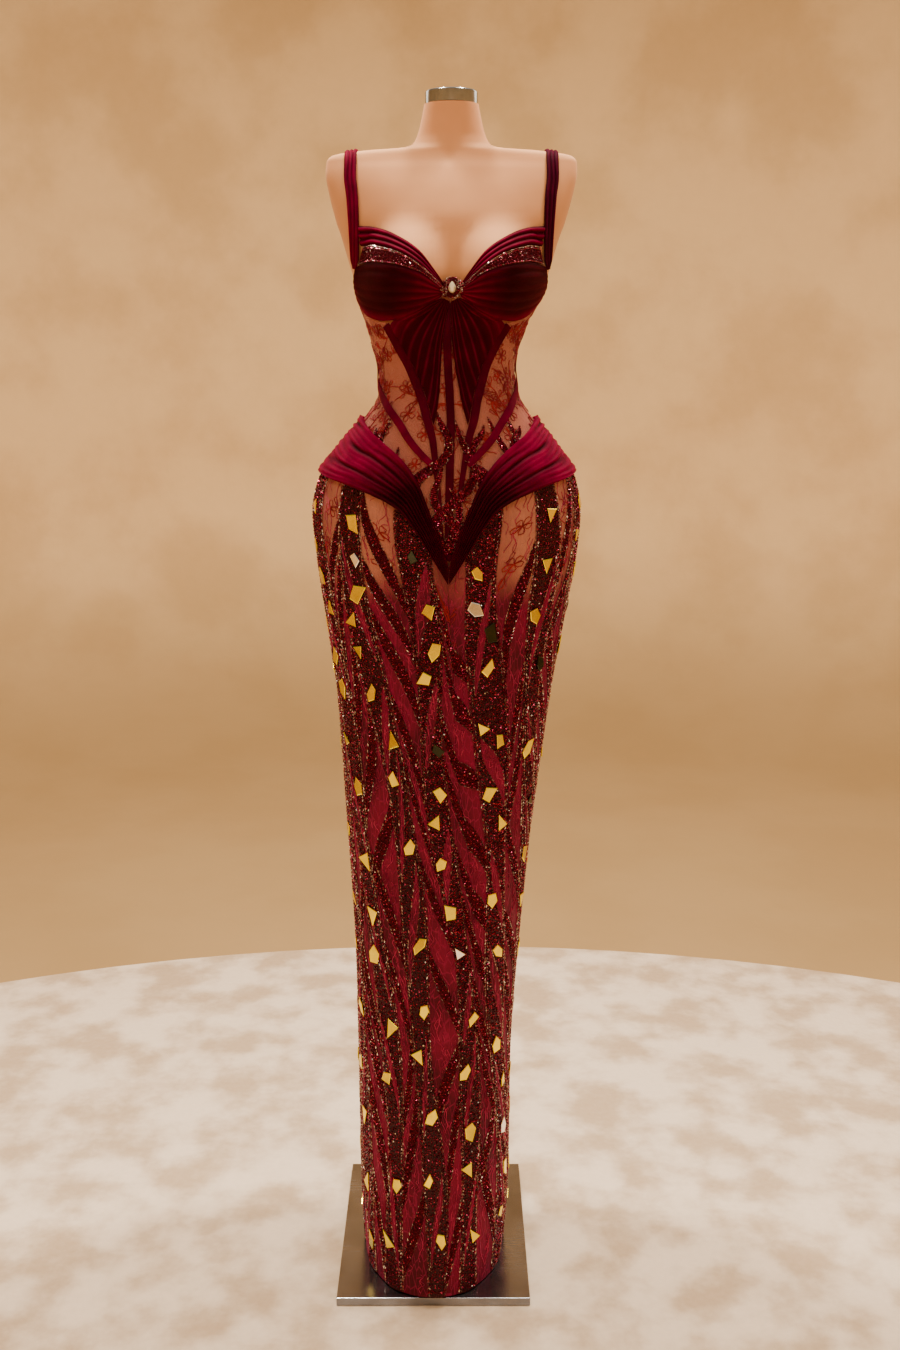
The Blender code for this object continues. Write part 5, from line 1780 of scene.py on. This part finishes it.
# Beaded tendrils that climb from the skirt over the lower bodice
Tendril = namedtuple("Tendril", "turn z length lean bend hook width")
TENDRILS = table(
    Tendril,
    (-34.0, 1.205, 0.064, -50.0, 24.0, 40.0, 0.0076),
    (-25.0, 1.190, 0.100, -20.0, -48.0, -35.0, 0.0084),
    (-17.0, 1.165, 0.135, 2.0, 54.0, 30.0, 0.0090),
    (-11.0, 1.135, 0.118, -18.0, -46.0, -40.0, 0.0086),
    (-6.5, 1.108, 0.180, 0.0, 50.0, 40.0, 0.0092),
    (-3.0, 1.092, 0.125, -9.0, -34.0, 30.0, 0.0084),
    (-0.4, 1.084, 0.095, 2.0, 20.0, -20.0, 0.0080),
    (2.4, 1.090, 0.155, 8.0, 42.0, -35.0, 0.0088),
    (5.6, 1.104, 0.118, -4.0, -48.0, -40.0, 0.0084),
    (9.5, 1.130, 0.170, 8.0, 52.0, 40.0, 0.0092),
    (14.5, 1.157, 0.112, 20.0, -46.0, -40.0, 0.0084),
    (21.0, 1.181, 0.122, 16.0, 48.0, 45.0, 0.0080),
    (30.0, 1.200, 0.072, 48.0, -30.0, -40.0, 0.0072),
)


def tendril_line(tendril):
    """Turns and heights along a tendril's middle."""
    t = np.linspace(0, 1, 60)
    heading = np.radians(tendril.lean + tendril.bend * np.sin(t * 2 * np.pi * 0.8)
                         + tendril.hook * smooth_step(0.62, 1.0, t) ** 1.4)
    stride = tendril.length / len(t)
    z = tendril.z + np.cumsum(np.cos(heading)) * stride
    wide = np.linalg.norm(figure_point(tendril.turn + 1.0, z) - figure_point(tendril.turn, z), axis=-1)
    turn = tendril.turn + CENTRE_FRONT + np.cumsum(np.sin(heading) * stride / wide)
    return turn, z, wide, heading


def tendril_parts(rng, tendril):
    """The ground of one tendril, as a grid of top points and one of under points, and its seeds."""
    turn, z, wide, heading = tendril_line(tendril)
    t = np.linspace(0, 1, len(turn))
    half = tendril.width * 0.92 * (1 - 0.55 * t) * (1 - 0.85 * t ** 12)
    lift = np.where(from_front(turn) < 9, TAPE_OUT + 0.0009, LACE_OUT + 0.0009)

    def beside(across):
        return on_figure(turn + across * half * np.cos(heading) / wide,
                         z - across * half * np.sin(heading))

    def row(across, pitch):
        """Points, normals and heights a pitch apart, along a line beside the middle."""
        point, normal = beside(across)
        at = evenly(point, pitch)
        return picked(point, at), unit(picked(normal, at)), picked(lift, at)

    point, normal = beside(np.array([[-1.0], [0.0], [1.0]]))
    ground = [(point + normal * (lift[:, None] - depth))[:, ::3] for depth in (0.0, 0.0008)]
    beads, bugles = [], []
    for across in (-0.75, -0.45, -0.15, 0.15, 0.45, 0.75):
        point, normal, raised = row(across, TENDRIL_BEAD_PITCH)
        tone = dark_tones(rng, len(point))
        beads.append(scattered(rng, point, normal, raised, tone))
    for across in (-1.0, 1.0):
        point, normal, raised = row(across, TENDRIL_BUGLE_PITCH)
        tone = edge_tones(rng, len(point))
        bugles.append(laid_along(rng, point, normal, raised[:, None] + 0.0003, tone, 0.35 * across))
    return ground, beads, bugles


def build_tendrils():
    """All the tendrils, as one piece of cloth and two of beads."""
    rng = np.random.default_rng(41)
    grounds, beads, bugles = [], [], []
    for tendril in TENDRILS:
        ground, its_beads, its_bugles = tendril_parts(rng, tendril)
        grounds.append(ground)
        beads += its_beads
        bugles += its_bugles
    strip_piece("tendril_grounds", grounds, FINISHES["beaded_ground"])
    bead_piece("tendril_beads", beads, TENDRIL_BEAD)
    bead_piece("tendril_bugles", bugles, TENDRIL_BUGLE)


def build_brooch():
    """A drop-shaped crystal in a cluster of dark and silver beads."""
    rng = np.random.default_rng(3)
    middle = figure_point(CENTRE_FRONT, BROOCH_Z)
    wide = np.linalg.norm(figure_point(CENTRE_FRONT + 1, BROOCH_Z) - middle)
    number = BROOCH_BEADS
    angle, reach = rng.uniform(0, 2 * math.pi, number), rng.random(number) ** 0.6
    x = np.cos(angle) * reach * BROOCH_REACH_X
    z = np.sin(angle) * reach * BROOCH_REACH_Z
    point, normal = on_figure(CENTRE_FRONT + x / wide, BROOCH_Z + z)
    normal = unit(normal + np.array([0, -1.0, 0]))
    dome = 0.0078 - 0.0028 * reach ** 2
    tone = np.where(rng.random(number) < 0.72, dark_tones(rng, number), rng.uniform(0.7, 1.0, number))
    seeds = scattered(rng, point, normal, dome, tone, 0.6)
    bead_piece("brooch_beads", [seeds], BROOCH_BEAD)

    shape = bmesh.new()
    rings = []
    centre = middle + np.array([0, -CRYSTAL_OUT, 0])
    for reach, height in CRYSTAL_PROFILE:
        ring = []
        for i in range(CRYSTAL_SIDES):
            angle = 2 * math.pi * i / CRYSTAL_SIDES
            up = math.cos(angle)
            taper = 1 - 0.55 * max(0.0, up) ** 1.3
            aside = math.sin(angle) * CRYSTAL_HALF_WIDTH * reach * taper
            rise = up * CRYSTAL_HALF_LENGTH * reach
            ring.append(shape.verts.new((centre[0] + aside, centre[1] - height, centre[2] + rise)))
        rings.append(ring)
    for low, high in zip(rings, rings[1:]):
        for i in range(CRYSTAL_SIDES):
            shape.faces.new((low[i - 1], low[i], high[i], high[i - 1]))
    shape.faces.new(rings[0])
    shape.faces.new(rings[-1])
    mesh = mesh_of("crystal_drop", shape)
    sew(new_object("crystal_drop", mesh, FINISHES["crystal"]), "brooch_stone")


# The dress form, its stand and the stage

def ring_mesh(name, rings):
    """A closed skin through rings of points, capped at both ends."""
    rings = np.asarray(rings)
    number, columns = rings.shape[:2]
    grid = np.arange(number * columns).reshape(number, columns)
    around = np.roll(grid, -1, axis=1)
    quads = np.stack([grid[:-1], around[:-1], around[1:], grid[1:]], -1).reshape(-1, 4).tolist()
    mesh = bpy.data.meshes.new(name)
    mesh.from_pydata(rings.reshape(-1, 3).tolist(), [], quads + [grid[0].tolist()] + [grid[-1].tolist()])
    turn_outwards(mesh)
    return mesh


def build_form():
    """The form, its neck cap, and finishes for the pieces that keep their CAD shapes."""
    heights = np.concatenate([
        np.linspace(FORM_BOTTOM, BODY_TOP, BODY_RINGS),
        np.linspace(NECK_FOOT, NECK_TOP, NECK_RINGS),
    ])
    turns = np.linspace(-180, 180, FORM_COLUMNS, endpoint=False)
    rings = []
    for z in heights:
        point, normal = on_figure(turns, np.full(FORM_COLUMNS, z))
        level = unit(normal * np.array([1.0, 1.0, 0.0]))
        rings.append(point - level * float(inset_track.at(z).depth))
    mesh = ring_mesh("dress_form", rings)
    sew(new_object("dress_form", mesh, FINISHES["skin"], 55), "form_torso")

    profile = [(CAP_RADIUS - 0.0008, 0.0), (CAP_RADIUS, 0.0008), (CAP_RADIUS, CAP_HEIGHT - CAP_LIP)]
    profile += [
        (CAP_RADIUS - CAP_LIP * (1 - math.cos(a)), CAP_HEIGHT - CAP_LIP * (1 - math.sin(a)))
        for a in np.linspace(0.2, math.pi / 2, 6)
    ]
    profile += [(CAP_RADIUS * 0.5, CAP_HEIGHT + 0.0002), (CAP_RADIUS * 0.05, CAP_HEIGHT + 0.0003)]
    angles = np.linspace(0, 2 * math.pi, CAP_SIDES, endpoint=False)
    middle_y = (FIGURE[-1].back - FIGURE[-1].front) / 2
    rings = [
        np.stack([FIGURE[-1].centre_x + radius * np.cos(angles), middle_y + radius * np.sin(angles),
                  np.full(CAP_SIDES, NECK_TOP + SEAM + height)], -1)
        for radius, height in profile
    ]
    mesh = ring_mesh("neck_cap", rings)
    sew(new_object("neck_cap", mesh, FINISHES["chrome"], 40), "form_neck_cap")
    for node, finish in NODE_FINISHES.items():
        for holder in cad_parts[node].material_slots:
            holder.material = FINISHES[finish]


def build_stage():
    """A pale floor that curves up into a round backdrop, soft lights and the camera."""
    angles = np.linspace(0, 2 * math.pi, 128, endpoint=False)
    cove = [
        (ROOM_RADIUS - ROOM_COVE * (1 - math.sin(a)), ROOM_COVE * (1 - math.cos(a)))
        for a in np.linspace(0, math.pi / 2, 12)
    ]
    level = [(0.02, 0.0), (1.0, 0.0), (ROOM_LIT, 0.0), (2.2, 0.0)]
    room_rings = [(r, z - CARPET) for r, z in level + cove]
    room_rings += [(ROOM_RADIUS, z) for z in (1.0, ROOM_HEIGHT)]
    carpet_rings = [(0.02, 0.0), (1.0, 0.0), (CARPET_RADIUS - CARPET, 0.0), (CARPET_RADIUS, -CARPET)]
    pieces = (
        ("studio_room", room_rings, 0.0, "wall"),
        ("studio_carpet", carpet_rings, CARPET_Y, "floor"),
    )
    for name, profile, middle_y, finish in pieces:
        shape = bmesh.new()
        rings = [
            [shape.verts.new((r * math.cos(a), middle_y + r * math.sin(a), z)) for a in angles]
            for r, z in profile
        ]
        for low, high in zip(rings, rings[1:]):
            for i in range(len(low)):
                shape.faces.new((low[i - 1], high[i - 1], high[i], low[i]))
        shape.faces.new(rings[0])
        mesh = bpy.data.meshes.new(name)
        shape.to_mesh(mesh)
        shape.free()
        shade = mesh.attributes.new("shade", "FLOAT", "POINT")
        for vertex, value in zip(mesh.vertices, shade.data):
            lit = finish == "floor" or math.hypot(vertex.co.x, vertex.co.y) < ROOM_LIT - CARPET
            value.value = 0.0 if lit else 0.85 * float(smooth_step(0.8, 0.0, vertex.co.z))
        new_object(name, mesh, FINISHES[finish], 60)

    for lamp in LAMPS:
        light = bpy.data.lights.new(lamp.name, "AREA")
        light.shape = "DISK"
        light.size = lamp.size
        light.energy = lamp.watts
        light.color = LAMP_COLOUR
        holder = bpy.data.objects.new(lamp.name, light)
        bpy.context.scene.collection.objects.link(holder)
        holder.location = lamp.place
        away = Vector((0, 0, lamp.aim)) - Vector(lamp.place)
        holder.rotation_euler = away.to_track_quat("-Z", "Y").to_euler()
    world = bpy.data.worlds.new("studio")
    world.use_nodes = True
    background = world.node_tree.nodes["Background"]
    background.inputs[0].default_value = ROOM_LIGHT
    background.inputs[1].default_value = ROOM_LIGHT_STRENGTH
    bpy.context.scene.world = world

    lens = bpy.data.cameras.new("camera")
    lens.lens, lens.shift_y = CAMERA_LENS, CAMERA_SHIFT
    camera = bpy.data.objects.new("camera", lens)
    camera.location = CAMERA_PLACE
    camera.rotation_euler = (math.radians(90.0 - CAMERA_PITCH), 0.0, 0.0)
    bpy.context.scene.collection.objects.link(camera)
    bpy.context.scene.camera = camera


# The add-on's settings, operators and panel

def make_finishes():
    """All the materials, and the trees that grow beads and threads."""
    if FINISHES:
        return
    settings = bpy.context.scene.evening_dress
    bright = tuple(settings.velvet_painted_light)
    deep = tuple(settings.velvet_deep)
    FINISHES.update({
        "velvet": velvet_finish("burgundy_velvet", deep, bright, (0.90, 0.004, 0.08)),
        "velvet_light": velvet_finish("crimson_velvet", (0.012, 0.0001, 0.0015),
                                      (0.175, 0.0003, 0.028), (0.90, 0.004, 0.10)),
        # A darker plum copy of the velvet for one strap: painted shade.
        "velvet_painted_shade": velvet_finish("plum_velvet", (0.020, 0.0003, 0.004),
                                     (0.11, 0.0008, 0.026), (0.6, 0.01, 0.16)),
        "net": net_finish("nude_tulle", (0.48, 0.180, 0.140), (0.30, 0.022, 0.028), 0.68),
        "sprig": thread_finish("lace_thread", (0.15, 0.003, 0.006), (0.26, 0.010, 0.012)),
        "cord": thread_finish("lace_cord", (0.16, 0.002, 0.026), (0.36, 0.018, 0.075)),
        "skirt": skirt_finish("corded_lace"),
        "beaded_ground": plain_finish("beaded_ground", (0.022, 0.0004, 0.002),
                                      (0.070, 0.0012, 0.007), 300.0),
        "bead": bead_finish("cut_beads"),
        "mirror_gold": mirror_finish("gold_mirror", (0.88, 0.68, 0.012), (0.66, 0.48, 0.008), 0.10),
        # Near black metal: a painted reflection of a dark room.
        "mirror_smoked": mirror_finish("smoked_mirror", (0.036, 0.037, 0.022), (0.02, 0.02, 0.012), 0.05),
        "mirror_silver": mirror_finish("silver_mirror", (0.90, 0.87, 0.80), (0.70, 0.66, 0.58), 0.05),
        "mirror_edge": mirror_finish("mirror_edge", (0.95, 0.86, 0.58), (0.80, 0.66, 0.36), 0.25),
        "skin": skin_finish("form_jersey"),
        "chrome": metal_finish("polished_chrome", (0.15, 0.16, 0.17), (0.32, 0.34, 0.36), 0.12, 500.0),
        "steel": metal_finish("polished_steel", (0.20, 0.205, 0.235), (0.31, 0.32, 0.36), 0.16, 900.0),
        "crystal": crystal_finish("crystal"),
        "floor": room_finish("pale_carpet", (0.56, 0.41, 0.27), (1.0, 0.86, 0.70), 9.0, 90.0,
                             (0.6, 0.5, 0.4)),
        "wall": room_finish("pale_plaster", (0.68, 0.46, 0.22), (0.88, 0.63, 0.33), 2.2, 24.0,
                            (0.33, 0.21, 0.09)),
    })
    TREES.update({"bead": bead_tree(), "thread": thread_tree()})


class DressSettings(bpy.types.PropertyGroup):
    bead_spacing: bpy.props.FloatProperty(
        name="Bead spacing", description="From one bead to the next", default=0.0038, unit="LENGTH")
    bead_width: bpy.props.FloatProperty(
        name="Bead width", description="Across a round bead", default=0.0031, unit="LENGTH")
    mirror_size: bpy.props.FloatProperty(
        name="Mirror size", description="Size of the mirror shards, 1 as worn", default=1.0)
    velvet_deep: bpy.props.FloatVectorProperty(
        name="Velvet, deep", description="Colour of the velvet's folds in shade", subtype="COLOR",
        default=(0.019, 0.0001, 0.0016))
    # The colour of the velvet's painted highlights and painted light.
    velvet_painted_light: bpy.props.FloatVectorProperty(
        name="Velvet, bright", description="Colour of the velvet where its pile turns", subtype="COLOR",
        default=(0.27, 0.0008, 0.045))


class DressOperator:
    """Builds the pieces of its steps, in order."""

    bl_options = {"REGISTER", "UNDO"}

    def execute(self, context):
        make_finishes()
        for step in self.steps:
            step()
        return {"FINISHED"}


class DressForm(DressOperator, bpy.types.Operator):
    """Builds the limbless dress form, its chrome cap and its stand's finish"""

    bl_idname = "evening_dress.form"
    bl_label = "Dress form"
    steps = (build_form,)


class DressBodice(DressOperator, bpy.types.Operator):
    """Builds the tulle panels of the bodice, their lace sprigs and the boning tapes"""

    bl_idname = "evening_dress.bodice"
    bl_label = "Bodice"
    steps = (build_bodice, build_sprigs, build_tapes)


class DressVelvet(DressOperator, bpy.types.Operator):
    """Builds the velvet fans, cups, straps and hip drapes"""

    bl_idname = "evening_dress.velvet"
    bl_label = "Velvet"
    steps = (build_fans, build_cups, build_straps, build_drapes)


class DressSkirt(DressOperator, bpy.types.Operator):
    """Builds the skirt's four gores and the cords of their lace"""

    bl_idname = "evening_dress.skirt"
    bl_label = "Skirt"
    steps = (build_skirt, build_cords)


class DressBeading(DressOperator, bpy.types.Operator):
    """Sews on the beads, bugles, mirror shards, tendrils and brooch"""

    bl_idname = "evening_dress.beading"
    bl_label = "Beading"
    steps = (build_beading, build_mirrors, build_tendrils, build_brooch)


class DressStage(DressOperator, bpy.types.Operator):
    """Sets up the floor, backdrop, lights and camera"""

    bl_idname = "evening_dress.stage"
    bl_label = "Stage"
    steps = (build_stage,)


OPERATORS = (DressForm, DressBodice, DressVelvet, DressSkirt, DressBeading, DressStage)


class DressPanel(bpy.types.Panel):
    """Sizes, colours and pieces of the evening dress"""

    bl_idname = "VIEW3D_PT_evening_dress"
    bl_label = "Evening Dress"
    bl_space_type = "VIEW_3D"
    bl_region_type = "UI"
    bl_category = "Dress"

    def draw(self, context):
        for name in DressSettings.__annotations__:
            self.layout.prop(context.scene.evening_dress, name)
        for operator in OPERATORS:
            self.layout.operator(operator.bl_idname)


CLASSES = (DressSettings, *OPERATORS, DressPanel)


def register():
    for kind in CLASSES:
        bpy.utils.register_class(kind)
    bpy.types.Scene.evening_dress = bpy.props.PointerProperty(type=DressSettings)


def unregister():
    del bpy.types.Scene.evening_dress
    for kind in reversed(CLASSES):
        bpy.utils.unregister_class(kind)


def main():
    register()
    for operator in OPERATORS:
        group, name = operator.bl_idname.split(".")
        getattr(getattr(bpy.ops, group), name)()


if __name__ == "__main__":
    main()
